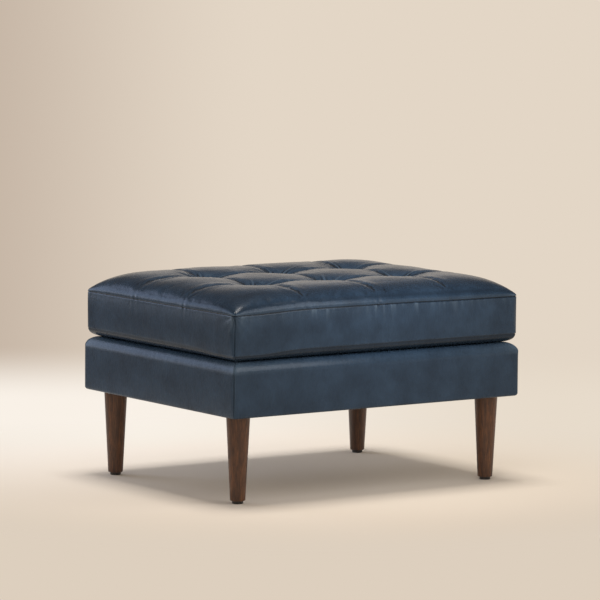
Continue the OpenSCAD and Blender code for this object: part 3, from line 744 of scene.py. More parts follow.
def top_leather(cushion, top, seam_z, xs, ys):
    """Points, heights over the seam and painted light and shade of the tufted top, on a grid of lines."""
    x, y = np.meshgrid(xs, ys)
    sheet_xs, sheet_ys, shift = settled_sheet(cushion, top)
    settle = [resampled(shift[..., axis], sheet_xs, sheet_ys, xs, ys) for axis in range(3)]
    # The leather never sinks into the filling under it
    to_tuft, to_crease = top.distances(x, y)
    fullness = top.fullness(x, y)
    apart = soft_step(to_tuft, 35 * MM, 80 * MM) * soft_step(to_crease, 12 * MM, 40 * MM)
    raised = top.folds(x, y) + SETTLED_UP * settle[2] - PILLOW_DROP * apart * fullness
    height = top.height(x, y) + np.maximum(raised, -CREASE_SINK - PILLOW_SINK * apart)
    bulge = top.bulge(height)
    push_x = np.sign(x) * bulge * np.exp(-(top.half.x - abs(x)) / BULGE_FADE)
    push_y = np.sign(y) * bulge * np.exp(-(top.half.y - abs(y)) / BULGE_FADE)
    plan_x, plan_y = round_corners(x, y, top.half.x, top.half.y, top.corner_radius(0))
    points = [
        plan_x + push_x + SETTLED_ASIDE * settle[0],
        plan_y + push_y + SETTLED_ASIDE * settle[1],
        seam_z + top.edge_lift(x, y) + height,
    ]
    # Crests get a painted highlight, and painted shade lies in the hollows and on the slopes down to the
    # seams
    bend = bend_of(height, xs, ys)
    from_seam = top.from_seam(x, y)
    crest_highlight = np.clip((-bend - PLAIN_BEND) / 160, 0, 0.3)
    crest_light_hollow_shade = crest_highlight - np.clip((bend - PLAIN_BEND) / 65, 0, 0.85)
    slope_shade = 0.5 * soft_step(1 - fullness, 0.02, 0.25) * soft_step(from_seam, 0, 5 * MM)
    wear = soft_step(from_seam, 4 * MM, 14 * MM) * crest_light_hollow_shade - slope_shade
    return np.stack(points, axis=-1).reshape(-1, 3), height, wear.ravel()


class CushionSides:
    """Leather below the border of the tufted top, in rings of points: collar, boxing and belly."""

    def __init__(self, cushion, top, xs, ys, height):
        self.cushion, self.top = cushion, top
        self.low, self.high = span(*BOXING)
        self.seam_radius = top.corner_radius(0)
        grid_x, grid_y = np.meshgrid(xs, ys)
        border = border_of(*grid_x.shape)
        self.x, self.y, self.rise = (values.ravel()[border] for values in (grid_x, grid_y, height))
        self.share_x, self.share_y = self.x / xs[-1], self.y / ys[-1]
        self.seam_line = self.high.z + top.seam_rise(self.x)
        # Places along the border, for the seams and folds in the sides
        half = top.half
        self.line_x, self.line_y = self.ring(0, self.seam_radius)
        step = np.hypot(np.roll(self.line_x, -1) - self.line_x, np.roll(self.line_y, -1) - self.line_y)
        self.along = np.cumsum(step) - step
        self.corner_gap = np.hypot(half.x * (1 - abs(self.share_x)), half.y * (1 - abs(self.share_y)))
        self.on_long_side = abs(self.y) >= ys[-1] - 1e-6
        self.on_front = self.on_long_side & (self.y < 0)
        self.on_back = self.on_long_side & (self.y > 0)
        gaps = gap_to(self.x, top.crease_xs), gap_to(self.y, top.crease_ys)
        crease_gap = np.where(self.on_long_side, *gaps)
        self.pucker = -1.1 * MM * near(crease_gap, 3.5 * MM) + 1.2 * MM * near(crease_gap - 9 * MM, 6 * MM)
        # The leather gathers most at a few stretches of the long seams, at the creases and at the corners
        stretches = near(self.x + 165 * MM, 38 * MM) + near(self.x - 70 * MM, 85 * MM)
        gathered = self.on_long_side * stretches + 0.8 * near(crease_gap, 14 * MM)
        self.gathered = np.clip(0.22 + gathered + near(self.corner_gap, 26 * MM), 0, 1.2)
        # The lower seam dips at the near corner
        near_corner_gap = np.hypot(half.x + self.line_x, half.y + self.line_y)
        self.dip = 7 * MM * (1 - soft_step(near_corner_gap, 60 * MM, 190 * MM))
        self.points, self.light_and_wear_rings = [], []

    def ring(self, out, radius):
        """Plan of a ring that stands out from the seams by a distance, which may differ along it."""
        half_x, half_y = self.top.half.x + out, self.top.half.y + out
        return round_corners(self.share_x * half_x, self.share_y * half_y, half_x, half_y, radius)

    def add(self, plan, z, wear):
        """Adds one ring of points below the last."""
        self.points.append(np.stack([*plan, np.broadcast_to(z, self.x.shape)], axis=1))
        self.light_and_wear_rings.append(np.broadcast_to(wear, self.x.shape))

    def wrinkle(self, depth, amount, reach, seed):
        """Small upright gathers beside a seam, fading with the depth from it."""
        spots = np.stack([self.along, np.full_like(self.along, depth * 0.15), 0 * self.along], axis=1)
        return amount * smooth_noise(spots, 8 * MM, seed) * self.gathered * math.exp(-depth / reach)

    def fan(self, depth):
        """Folds that fan out below the near corner of the top seam."""
        spread = np.where(self.on_long_side, -self.corner_gap, self.corner_gap)
        ridges = 0.5 + 0.5 * np.sin(13 * np.arctan2(depth, spread) + 0.6)
        at_corner = ((self.line_x < 0) & (self.line_y < 0)) * np.where(self.on_long_side, 0.35, 1)
        reach = np.hypot(depth, spread) / (11 * MM)
        return 1.8 * MM * at_corner * ridges * reach * np.exp(1 - reach)

    def wave(self, z, seed):
        """Soft upright waves in the boxing leather."""
        spots = np.stack([self.line_x, self.line_y, np.full_like(self.line_x, z * 0.3)], axis=1)
        return smooth_noise(spots, 60 * MM, seed) + 0.35 * smooth_noise(spots, 17 * MM, seed + 1)

    def add_collar(self, first_edge):
        """The top panel curls down to its seam."""
        c = self.cushion
        mean_rise = float(np.mean(self.rise))
        for part in COLLAR_SHARES:
            inset = first_edge * part ** (1 / c.rise_blend)
            folded = self.pucker * (1 - part) + self.wrinkle(mean_rise * part, 0.8 * MM, 14 * MM, 31)
            out = np.maximum(self.top.bulge(self.rise * part) + folded, DEEPEST_FOLD) - inset
            rise = np.maximum(self.rise * part, c.seam_width / 2 * (part + 0.5))
            # Painted highlight on the collar, most by the corners, and painted shade in the seam below it
            wear = 0.1 + 0.4 * near(self.corner_gap, 24 * MM) if part > 0.15 else -0.5
            self.add(self.ring(out, self.seam_radius), self.seam_line + rise, wear)
        self.add(self.ring(-c.seam_depth, self.seam_radius), self.seam_line, -1)

    def add_boxing(self):
        """The side strips, with the slot for the zip at the back, from the top seam to the lower one."""
        c = self.cushion
        zip_low, zip_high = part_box("zip_coil")
        boxing = self.high.z - self.low.z
        middle = boxing / 2
        slot = (zip_high.z - zip_low.z) / 2 + 0.2 * MM
        slot_lip = slot + 0.8 * MM
        depths = [depth * MM for depth in UPPER_RINGS_MM]
        depths += [middle + reach for reach in (-slot_lip, -slot, 0, slot, slot_lip)]
        depths += [boxing - depth * MM for depth in LOWER_RINGS_MM]
        in_slot = self.on_back & (abs(self.x) <= zip_high.x + 1e-5)
        for depth in depths:
            part = (depth - middle) / middle
            full = c.side_pull * (1 - part**2)
            gathers = self.wrinkle(depth, 1.0 * MM, 13 * MM, 51)
            low_gathers = self.wrinkle(boxing - depth, 0.4 * MM, 9 * MM, 61)
            fanned = self.fan(depth)
            folded = 0.6 * MM * self.wave(depth, 41) * (1 - part**4) + gathers + low_gathers + fanned
            folded += 0.5 * self.pucker * math.exp(-depth / (9 * MM))
            top_lip = (0.4 + 0.6 * self.on_front) * near(depth - 2.6 * MM, 1.6 * MM)
            low_lip = self.on_front * near(boxing - depth - 3.2 * MM, 1.8 * MM)
            folded += 0.55 * MM * (top_lip + low_lip)
            folded += 0.45 * MM * near(self.corner_gap - 2.9 * MM, 1.7 * MM)
            folded -= 1.1 * MM * near(self.corner_gap, 0.9 * MM)
            out = full + np.maximum(folded, DEEPEST_FOLD)
            if abs(depth - middle) <= slot + 1e-6:
                out = np.where(in_slot, out - c.slot_depth, out)
            sag = (self.dip + self.seam_line - self.high.z) * (depth / boxing) ** 2
            # Painted highlight just below the top seam and on the gathers and fanned folds, and painted shade
            # in the top seam and the upright corner seams
            painted_highlight = 0.12 * math.exp(-depth / (6 * MM)) + 1.3 * np.clip(gathers / MM, 0, 0.6)
            painted_highlight += 0.35 * fanned / MM
            painted_seam_shade = 0.6 * (depth < 1.2 * MM) + 0.8 * near(self.corner_gap, 0.9 * MM)
            plan = self.ring(out, self.top.corner_radius(full))
            self.add(plan, self.seam_line - depth - sag, painted_highlight - painted_seam_shade)
        # Painted shade in the lower seam, deeper on the front
        low_seam = -c.seam_depth * (0.35 + 0.65 * self.on_front)
        self.add(self.ring(low_seam, self.seam_radius), self.low.z - self.dip, -0.3 - 0.4 * self.on_front)

    def add_belly(self, steps=9):
        """The underside curls in to the flat."""
        under_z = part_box("bottom_panel")[0].z
        rise = self.low.z - under_z - self.dip
        for k in range(1, steps + 1):
            angle = math.pi / 2 * k / steps
            out = -self.cushion.belly_run * (1 - math.cos(angle)) ** 0.9 + 0.5 * MM * near(k, 1)
            plan = self.ring(out, max(self.seam_radius + out, TIGHTEST_CORNER))
            # Painted shade under the cushion, deepening towards the flat
            self.add(plan, under_z + rise * (1 - math.sin(angle)) ** 1.1, -0.5 - 0.45 * k / steps)
        flat_x, flat_y = self.points[-1][:, 0], self.points[-1][:, 1]
        for part in UNDERSIDE_SHARES:
            self.add((flat_x * part, flat_y * part), under_z, 0)


def cushion_mesh(cushion):
    """Points, faces and painted light and shade of the cushion's leather cover: tufted top, seams, boxing and
    underside.
    """
    high = span(*BOXING)[1]
    zip_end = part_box("zip_coil")[1].x
    top = TuftedTop(cushion, high - Vector((cushion.side_pull, cushion.side_pull, 0)))
    edges = [FIRST_EDGE * EDGE_GROWTH**k for k in range(EDGE_LINES)] + [EDGE_BAND]
    spacings = (cushion.coarse_spacing, cushion.fine_spacing, edges)
    xs = grid_lines(top.half.x, top.crease_xs, (-zip_end, zip_end), *spacings)
    ys = grid_lines(top.half.y, top.crease_ys, (), *spacings)
    top_points, height, top_wear = top_leather(cushion, top, high.z, xs, ys)
    sides = CushionSides(cushion, top, xs, ys, height)
    sides.add_collar(edges[0])
    sides.add_boxing()
    sides.add_belly()
    # One face closes the flat underside
    border = border_of(*height.shape)
    rings = [len(top_points) + k * len(border) + np.arange(len(border)) for k in range(len(sides.points))]
    faces = np.concatenate([grid_quads(*height.shape), wall_quads([border, *rings])]).tolist()
    faces.append(rings[-1][::-1].tolist())
    return np.concatenate([top_points, *sides.points]), faces, np.concatenate([top_wear, *sides.light_and_wear_rings])


class OTTOMAN_OT_cushion_cover(bpy.types.Operator):
    """Make the tufted leather cover of the cushion"""

    bl_idname = "ottoman.cushion_cover"
    bl_label = "Cushion Cover"

    def execute(self, context):
        points, faces, wear = cushion_mesh(sizes("cushion"))
        replaced = ("tufted_top", *BOXING, "bottom_panel")
        cover = new_piece("cushion_cover", points, faces, "navy_leather", "cushion", replaced)
        write_light_and_wear(cover, wear)
        return {"FINISHED"}


# Upholstered base


BASE_COVERS = ("front_cover", "back_cover", "left_cover", "right_cover")
DEEPEST_BASE_FOLD = -1.25 * MM
BASE_SPACING = 5 * MM
# Rows of the section: over the deck, round the roll, down the side, round the hem and under the rails
DECK_ROWS, ROLL_ROWS, SIDE_ROWS, HEM_ROWS, UNDER_ROWS = 6, 12, 14, 5, 3
# Degrees round an upright corner at which its points stand, closest together at the seam in its middle
CORNER_TURNS = 9, 18, 27, 34, 39, 42.5, 45, 47.5, 51, 56, 63, 72, 81
SEAM_TURN = 45


def rounded_ring(half_x, half_y, radius, steps_x, steps_y, turns):
    """Points and outward directions of a rectangle with round corners, from the front left, anticlockwise."""
    points, directions = [], []
    for outward, forward, steps in (
        ((0, -1), (1, 0), steps_x),
        ((1, 0), (0, 1), steps_y),
        ((0, 1), (-1, 0), steps_x),
        ((-1, 0), (0, -1), steps_y),
    ):
        outward, forward = np.array(outward), np.array(forward)
        reach = abs(forward[0]) * (half_x - radius) + abs(forward[1]) * (half_y - radius)
        stand = abs(outward[0]) * half_x + abs(outward[1]) * half_y
        for t in steps:
            points.append(outward * stand + forward * reach * t)
            directions.append(outward)
        centre = outward * (stand - radius) + forward * reach
        for turn in turns:
            direction = outward * math.cos(turn) + forward * math.sin(turn)
            points.append(centre + radius * direction)
            directions.append(direction)
    return np.array(points), np.array(directions)


def base_profile(base, low_z, deck_z, return_width):
    """Section of the base cover from the deck to the hem: inset, height and outward slope of each row."""
    middle = (low_z + deck_z) / 2
    reach = (deck_z - low_z) / 2

    def swell_in(z):
        """How far the side lies in from its fullest part."""
        return base.swell * ((z - middle) / reach) ** 2

    def arc(centre_z, radius, angles):
        """Rows round an edge, at angles up from the level."""
        inset = swell_in(centre_z) + radius
        for angle in angles:
            out, up = math.cos(angle), math.sin(angle)
            rows.append((inset - radius * out, centre_z + radius * up, out, up))

    roll, hem = base.roll_radius, base.hem_radius
    roll_z, hem_z = deck_z - roll, low_z + hem
    roll_in, hem_in = swell_in(roll_z), swell_in(hem_z)
    to_roll = roll + roll_in - return_width
    rows = [(return_width + to_roll * k / DECK_ROWS, deck_z, 0, 1) for k in range(DECK_ROWS)]
    arc(roll_z, roll, [math.pi / 2 * (1 - k / ROLL_ROWS) for k in range(ROLL_ROWS + 1)])
    for k in range(1, SIDE_ROWS):
        z = roll_z + (hem_z - roll_z) * k / SIDE_ROWS
        rows.append((swell_in(z), z, 1, 0))
    arc(hem_z, hem, [-math.pi / 2 * k / HEM_ROWS for k in range(HEM_ROWS + 1)])
    turned_under = base.hem_width - hem_in - hem
    under = [hem_in + hem + turned_under * k / UNDER_ROWS for k in range(1, UNDER_ROWS + 1)]
    rows += [(inset, low_z, 0, -1) for inset in under]
    return rows


def base_mesh(base):
    """Points, faces and painted light, shade and wear of the leather round the base, a closed skin with its
    own thickness.
    """
    low, high = span(*BASE_COVERS)
    steps = [np.linspace(-1, 1, round(2 * half / BASE_SPACING)) for half in high.xy]
    turns = [math.radians(a) for a in CORNER_TURNS]
    plan, out_dirs = rounded_ring(*high.xy, base.corner_radius, *steps, turns)
    corner_turn = np.degrees(np.arctan2(abs(out_dirs[:, 1]), abs(out_dirs[:, 0])))
    seam = near(corner_turn - SEAM_TURN, 3.2)
    beside_seam = near(abs(corner_turn - SEAM_TURN) - 13, 8)
    near_corner = np.hypot(high.x - abs(plan[:, 0]), high.y - abs(plan[:, 1]))
    outer, inner, wear = [], [], []
    return_width = high.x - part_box("deck_cloth")[1].x
    for inset, z, slope_out, slope_up in base_profile(base, low.z, high.z, return_width):
        radius = max(base.corner_radius - inset / CORNER_CUT, 2 * MM)
        ring, directions = rounded_ring(high.x - inset, high.y - inset, radius, *steps, turns)
        spots = np.column_stack([plan, np.full(len(plan), z * 0.4)])
        side = soft_step(high.z - z, 0, 12 * MM) * (slope_up >= 0)
        wave = base.waviness * smooth_noise(spots, 90 * MM, 71) * side
        top_of_seam = near(z - (high.z - 14 * MM), 16 * MM)
        gather = 0.7 * MM * smooth_noise(spots, 7 * MM, 81) * near(near_corner, 22 * MM) * top_of_seam
        lip = base.seam_lip * beside_seam * (side + 1.2 * near(z - (high.z - 12 * MM), 10 * MM))
        shift = wave + gather + lip - base.seam_depth * seam * (0.25 + 0.75 * (slope_up >= 0))
        shift = np.maximum(shift, DEEPEST_BASE_FOLD)
        skin = ring + shift[:, None] * directions * max(slope_out, 0.15)
        skin_z = z + shift * slope_up * (slope_out >= 0.05)
        outer.append(np.column_stack([skin, skin_z]))
        back_of_skin = skin - base.leather * slope_out * directions
        inner.append(np.column_stack([back_of_skin, skin_z - base.leather * slope_up]))
        # The crest of the roll gets a painted highlight that stands in part for rubbed wear, most by the
        # corners;
        # the lips beside the corner seams get a painted highlight and the seams painted shade
        crest = max(0.0, slope_up) * max(0.0, slope_out) * 2
        corner_highlight = 0.35 * np.exp(-near_corner / (110 * MM)) + 0.3 * near(near_corner, 30 * MM)
        wear.append(crest * (0.1 + corner_highlight) + 0.15 * beside_seam * side - 0.9 * seam)
    rings = outer + inner[::-1]
    numbers = [np.arange(len(plan)) + k * len(plan) for k in range(len(rings))]
    faces = wall_quads([*numbers, numbers[0]]).tolist()
    return np.concatenate(rings), faces, np.concatenate(wear + wear[::-1])


class OTTOMAN_OT_base_cover(bpy.types.Operator):
    """Make the leather round the base"""

    bl_idname = "ottoman.base_cover"
    bl_label = "Base Cover"

    def execute(self, context):
        points, faces, wear = base_mesh(sizes("base"))
        cover = new_piece("base_cover", points, faces, "navy_leather", "base", BASE_COVERS)
        write_light_and_wear(cover, wear)
        return {"FINISHED"}


# Geometry Nodes


def new_tree(name, inputs):
    """Geometry Nodes tree with a material and named numbers as inputs, its adder of nodes and its inputs."""
    tree = bpy.data.node_groups.new(name, "GeometryNodeTree")
    tree.interface.new_socket("Geometry", in_out="INPUT", socket_type="NodeSocketGeometry")
    tree.interface.new_socket("Material", in_out="INPUT", socket_type="NodeSocketMaterial")
    for label in inputs:
        tree.interface.new_socket(label, in_out="INPUT", socket_type="NodeSocketFloat")
    tree.interface.new_socket("Geometry", in_out="OUTPUT", socket_type="NodeSocketGeometry")
    add = functools.partial(add_node, tree)
    return tree, add, add("NodeGroupInput").node.outputs


def end_tree(add, start, geometry):
    """Ends a tree in Realize Instances and Set Material."""
    whole = add("GeometryNodeRealizeInstances", {"Geometry": geometry})
    smooth = add("GeometryNodeSetShadeSmooth", {"Geometry": whole})
    named = add("GeometryNodeSetMaterial", {"Geometry": smooth, "Material": start["Material"]})
    add("NodeGroupOutput", {"Geometry": named})


def turned_leg_tree():
    """Tree that turns a leg round an upright line: an even taper with an eased edge at both ends."""
    tree, add, start = new_tree("turned_leg", ["Length", "Top Diameter", "Foot Diameter", "Edge", "Facets"])
    line = add("GeometryNodeMeshToCurve", {"Mesh": start["Geometry"]})
    up = add("GeometryNodeSplineParameter", out="Length")
    ends = start["Foot Diameter"], start["Top Diameter"]
    taper = add("MapRange", (up, 0, start["Length"], *ends))
    to_top = add("Math", (start["Length"], up), operation="SUBTRACT")
    to_end = add("Math", (up, to_top), operation="MINIMUM")
    within = add("Math", (to_end, start["Edge"]), operation="MINIMUM")
    eased = add("Math", (start["Edge"], within), operation="SUBTRACT")
    radius = add("Math", (taper, 0.5), operation="MULTIPLY")
    scale = add("Math", (radius, eased), operation="SUBTRACT")
    circle = add("GeometryNodeCurvePrimitiveCircle", {"Resolution": start["Facets"], "Radius": 1.0})
    sweep = {"Curve": line, "Profile Curve": circle, "Scale": scale, "Fill Caps": True}
    end_tree(add, start, add("GeometryNodeCurveToMesh", sweep))
    return tree


def row_tree(name, shape, inputs, turn=(0, 0, 0)):
    """Tree that sets copies of a small shape along lines, such as stitches, staples or turns of a coil."""
    tree, add, start = new_tree(name, ["Pitch", "X", "Y", "Z"])
    line = add("GeometryNodeMeshToCurve", {"Mesh": start["Geometry"]})
    steps = {"Curve": line, "Length": start["Pitch"]}
    points = add("GeometryNodeCurveToPoints", steps, mode="LENGTH")
    size = add("CombineXYZ", (start["X"], start["Y"], start["Z"]))
    sized = {"Geometry": add("GeometryNode" + shape, inputs), "Scale": size}
    turned = {"Geometry": add("GeometryNodeTransform", sized), "Rotation": turn}
    copies = {
        "Points": points,
        "Instance": add("GeometryNodeTransform", turned),
        "Rotation": points.node.outputs["Rotation"],
    }
    end_tree(add, start, add("GeometryNodeInstanceOnPoints", copies))
    return tree


def grow(name, tree, lines, values, finish, body, replaced=()):
    """Piece that a tree makes along lines of points. A line is closed when its last point is its first."""
    points, links = [], []
    for line in lines:
        closed = line[0] == line[-1]
        own = line[:-1] if closed else line
        first = len(points)
        points += own
        links += [(first + i, first + i + 1) for i in range(len(own) - 1)]
        if closed:
            links.append((first + len(own) - 1, first))
    mesh = bpy.data.meshes.new(tree.name)
    mesh.from_pydata(points, links, [])
    source = new_object(tree.name, mesh)
    modifier = source.modifiers.new(tree.name, "NODES")
    modifier.node_group = tree
    values = {"Material": finish_of(finish), **values}
    for item in tree.interface.items_tree:
        if item.in_out == "INPUT" and item.name in values:
            modifier[item.identifier] = values[item.name]
    made = bpy.data.meshes.new_from_object(source.evaluated_get(bpy.context.evaluated_depsgraph_get()))
    source.modifiers.clear()
    bpy.data.objects.remove(source)
    return place_mesh(name, made, finish, body, replaced)


def lay_threads(name, lines, pitch, thread_length, thickness, finish, body):
    """Piece of short threads or wires with round ends, laid end to end along lines."""
    tree = row_tree(name, "MeshUVSphere", {"Segments": 6, "Rings": 5, "Radius": 0.5})
    values = {"Pitch": pitch, "X": thickness, "Y": thickness, "Z": thread_length}
    return grow(name, tree, lines, values, finish, body)


def sharpen_edges(mesh, degrees):
    """Keeps edges sharper than an angle crisp in the shading."""
    work = bmesh.new()
    work.from_mesh(mesh)
    limit = math.radians(degrees)
    for edge in work.edges:
        edge.smooth = len(edge.link_faces) == 2 and edge.calc_face_angle() < limit
    work.to_mesh(mesh)
    work.free()


class OTTOMAN_OT_legs(bpy.types.Operator):
    """Turn the four tapered legs"""

    bl_idname = "ottoman.legs"
    bl_label = "Legs"

    def execute(self, context):
        legs = sizes("legs")
        tree = turned_leg_tree()
        for node in ("front_left_leg", "front_right_leg", "back_left_leg", "back_right_leg"):
            low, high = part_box(node)
            x, y, middle_z = (low + high) / 2
            levels = [low.z, low.z + legs.edge, middle_z, high.z - legs.edge, high.z]
            values = {
                "Length": high.z - low.z,
                "Top Diameter": legs.top_diameter,
                "Foot Diameter": legs.foot_diameter,
                "Edge": legs.edge,
                "Facets": legs.facets,
            }
            lines = [[(x, y, z) for z in levels]]
            leg = grow(node + "_turned", tree, lines, values, "leg_walnut", "base", [node])
            sharpen_edges(leg.data, 30)
        dress_node("foot_glides", "glide_nylon")
        return {"FINISHED"}


# Zip, topstitches and staples


# Turns of the coil: their size across, deep and long, their stand off the tape and their place on it
COIL_TURN = 1.8 * MM, 1.3 * MM, 3.4 * MM
COIL_STAND = 1 * MM
COIL_HALF_GAP = 1.6 * MM
COIL_END = 4 * MM
STAPLE_WIRE = 1 * MM
# The deck's seam runs outside its cloth and the staples inside the dust cover's edge
DECK_SEAM_MARGIN = 5 * MM
STAPLE_MARGIN = 9 * MM
# How far the middle of a thread or a staple stands off what it is sewn or shot through
THREAD_LIFT = 0.1 * MM
STAPLE_LIFT = 0.2 * MM
POINT_SPACING = 5 * MM


def bevelled_box(work, low, high, bevel):
    """Adds a box with eased edges between two corners to a mesh in work."""
    made = bmesh.ops.create_cube(work, size=1)["verts"]
    for corner in made:
        corner.co = Vector([(low[i] + high[i]) / 2 + corner.co[i] * (high[i] - low[i]) for i in range(3)])
    edges = list({edge for corner in made for edge in corner.link_edges})
    bmesh.ops.bevel(work, geom=edges, offset=bevel, segments=2, affect="EDGES")


def slider_mesh(low, high):
    """Zip slider between two corners: two plates, a post, a bridge and a pull tab that hangs from it."""
    x, _, z = (low + high) / 2 / MM
    left, front, bottom = low / MM
    right, back, top = high / MM
    work = bmesh.new()
    # Two corners and the eased edge of each part, in millimetres
    parts = {
        "front plate": ((left, front, bottom), (right, front + 1.1, top), 0.4),
        "back plate": ((left, back - 1.2, bottom), (right, back, top), 0.4),
        "post": ((left + 0.5, front + 0.9, z - 1.3), (left + 3, back - 1, z + 1.3), 0.3),
        "bridge": ((x - 2.6, back - 0.2, z - 0.9), (x + 2.6, back + 1.5, z + 0.9), 0.4),
        "pull tab": ((x - 2.1, back + 0.3, z - 19), (x + 2.1, back + 1.3, z + 1.6), 0.35),
    }
    for first, second, bevel in parts.values():
        bevelled_box(work, Vector(first) * MM, Vector(second) * MM, bevel * MM)
    bmesh.ops.recalc_face_normals(work, faces=work.faces)
    return mesh_from("zip_slider_with_tab", work)


def line_on_back(cover, low_x, high_x, z):
    """Points along the back of the cushion's leather, at a height."""
    points = []
    for x in np.arange(low_x, high_x, POINT_SPACING):
        hit, place, _, _ = cover.ray_cast((x, 1, z), (0, -1, 0))
        if hit:
            points.append((place.x, place.y + THREAD_LIFT, place.z))
    return points


class OTTOMAN_OT_zip(bpy.types.Operator):
    """Make the zip in the back of the cushion, with its slider and topstitching"""

    bl_idname = "ottoman.zip"
    bl_label = "Zip"

    def execute(self, context):
        trim = sizes("trim")
        low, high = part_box("zip_coil")
        middle_z = (low.z + high.z) / 2
        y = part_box("zip_tape")[1].y + COIL_STAND
        ends = low.x + COIL_END, high.x - COIL_END
        lines = [[(x, y, middle_z + side * COIL_HALF_GAP) for x in ends] for side in (-1, 1)]
        bar = {"Vertices": 8, "Side Segments": 1, "Radius": 0.5, "Depth": 1.0}
        coil = row_tree("zip_coil_turns", "MeshCylinder", bar, (math.pi / 2, 0, 0))
        x, y, z = COIL_TURN
        values = {"Pitch": trim.coil_pitch, "X": x, "Y": y, "Z": z}
        grow("zip_coil_turns", coil, lines, values, "zip_coil", "cushion", ["zip_coil"])
        dress_node("zip_tape", "zip_tape")
        slider = slider_mesh(*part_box("zip_slider"))
        place_mesh("zip_slider_with_tab", slider, "zip_metal", "zip_slider", ["zip_slider"])
        cover = bpy.data.objects["cushion_cover"]
        reach = (high.z - low.z) / 2 + trim.stitch_margin
        seams = [line_on_back(cover, low.x, high.x, middle_z + side * reach) for side in (-1, 1)]
        stitch = trim.stitch_pitch, trim.stitch_length, trim.thread
        lay_threads("zip_topstitches", seams, *stitch, "thread", "cushion")
        return {"FINISHED"}


class OTTOMAN_OT_base_trim(bpy.types.Operator):
    """Sew the edge of the leather on the deck and staple the dust cover"""

    bl_idname = "ottoman.base_trim"
    bl_label = "Deck Seam and Staples"

    def execute(self, context):
        trim = sizes("trim")
        deck_z = span(*BASE_COVERS)[1].z + THREAD_LIFT
        staple_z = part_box("dust_cover")[0].z - STAPLE_LIFT
        stitch = trim.stitch_pitch, trim.stitch_length, trim.thread
        staple = trim.staple_pitch, trim.staple_width, STAPLE_WIRE
        for name, cloth, margin, z, sewn, finish in (
            ("deck_topstitches", "deck_cloth", DECK_SEAM_MARGIN, deck_z, stitch, "thread"),
            ("dust_cover_staples", "dust_cover", -STAPLE_MARGIN, staple_z, staple, "zinc_steel"),
        ):
            x, y = (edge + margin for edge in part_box(cloth)[1].xy)
            loop = [(-x, -y, z), (x, -y, z), (x, y, z), (-x, y, z), (-x, -y, z)]
            lay_threads(name, [loop], *sewn, finish, "base")
        return {"FINISHED"}


class OTTOMAN_OT_inside(bpy.types.Operator):
    """Give the frame, the fillings and the small parts their finishes"""

    bl_idname = "ottoman.inside"
    bl_label = "Frame and Fillings"

    def execute(self, context):
        rails = ("front_rail", "back_rail", "left_rail", "right_rail")
        finishes = {
            "frame_timber": (*rails, "centre_brace", "corner_blocks", "rail_dowels"),
            "zinc_steel": ("block_screws", "tee_nuts", "leg_bolts"),
            "webbing": ("webbing_lengthwise", "webbing_crosswise"),
            "hessian": ("hessian_sheet",),
            "foam": ("deck_foam", "foam_core"),
            "wadding": ("base_wadding", "fibre_topping"),
            "platform_cloth": ("deck_cloth",),
            "dust_cloth": ("dust_cover",),
            "twine": ("tuft_twines",),
            "felt": ("tuft_washers",),
        }
        for finish, nodes in finishes.items():
            for node in nodes:
                dress_node(node, finish)
        return {"FINISHED"}


# Stage


CAMERA_PLACE = Vector((-5.3866, -7.7419, 1.4250))
CAMERA_TURN = math.radians(-34.759)
CAMERA_ANGLES = (math.radians(83.893), math.radians(-0.472), CAMERA_TURN)
CAMERA_LENS_MM = 244.3
LIGHT_TARGET = Vector((0, 0, 0.35))
# Each softbox's direction from the cushion, its distance, its size and its colour
SOFTBOXES = {
    "overhead": ((0.01, 0.04, 1), 5, 1.6, "fffcf8"),
    "front": ((0.02, -0.60, 0.33), 0.685, 0.38, "f4f8ff"),
    "window": ((-0.46, 0.816, 0.30), 2.6, 1.3, "c4d8ff"),
}
# Share of the light that the palest lit paper gives back
PALEST_PAPER = 0.96, 0.96, 0.96


def background_rays(add):
    """1 on the rays that show the background: from the camera, off gloss and through glass."""
    camera, gloss, glass = (
        add("LightPath", out=f"Is {kind} Ray") for kind in ("Camera", "Glossy", "Transmission")
    )
    direct = add("Math", (camera, gloss), operation="MAXIMUM")
    return add("Math", (direct, glass), operation="MAXIMUM")


def seamless_paper(add, place):
    """Pale seamless paper with painted light: brightest behind the object on the left, painted darker in
    front, far away and far out to the left.
    """
    look = sizes("colours")
    turned = add("Mapping", {"Vector": place, "Rotation": (0, 0, -CAMERA_TURN)})
    across, back = (add("SeparateXYZ", (turned,), out=axis) for axis in "XY")
    # The gradient fans out with distance, so that it is even from left to right in the photograph's view.
    # Its places, to the side and back, are in metres beside the object
    stand = math.hypot(CAMERA_PLACE.x, CAMERA_PLACE.y)
    depth = add("Math", (back, stand), operation="ADD")
    depth = add("Math", (depth, 1.0), operation="MAXIMUM")
    fan = add("Math", (across, depth), operation="DIVIDE")
    side = add("Math", (fan, stand), operation="MULTIPLY")
    # Painted light and shade across the paper
    bright = graded(add, side, -0.45, 0.6, look.floor_left, look.floor_right)
    near_floor = graded(add, back, -0.75, 1.0, look.floor_near, bright)
    wall = graded(add, side, -0.95, -0.05, look.wall_left, look.wall_right)
    seen = graded(add, back, 1.3, 2.6, near_floor, wall)
    paper = graded(add, side, -0.85, -1.7, seen, look.floor_aside)
    pale = add("VectorMath", (paper, sizes("stage").paper_gain), operation="SCALE")
    pale = add("VectorMath", (pale, PALEST_PAPER), operation="MINIMUM")
    lit = add("BsdfDiffuse", (pale,))
    glow = add("Emission", (paper, 1.0))
    # Near the object the paper is lit and takes its shadow, and further out it shows its plain colour
    radius = add("VectorMath", (place,), operation="LENGTH")
    apart = add("MapRange", (radius, 0.42, 1.05, 0, 1), interpolation_type="SMOOTHSTEP")
    clear = add("Math", (apart, background_rays(add)), operation="MULTIPLY")
    return add("MixShader", (clear, lit, glow))


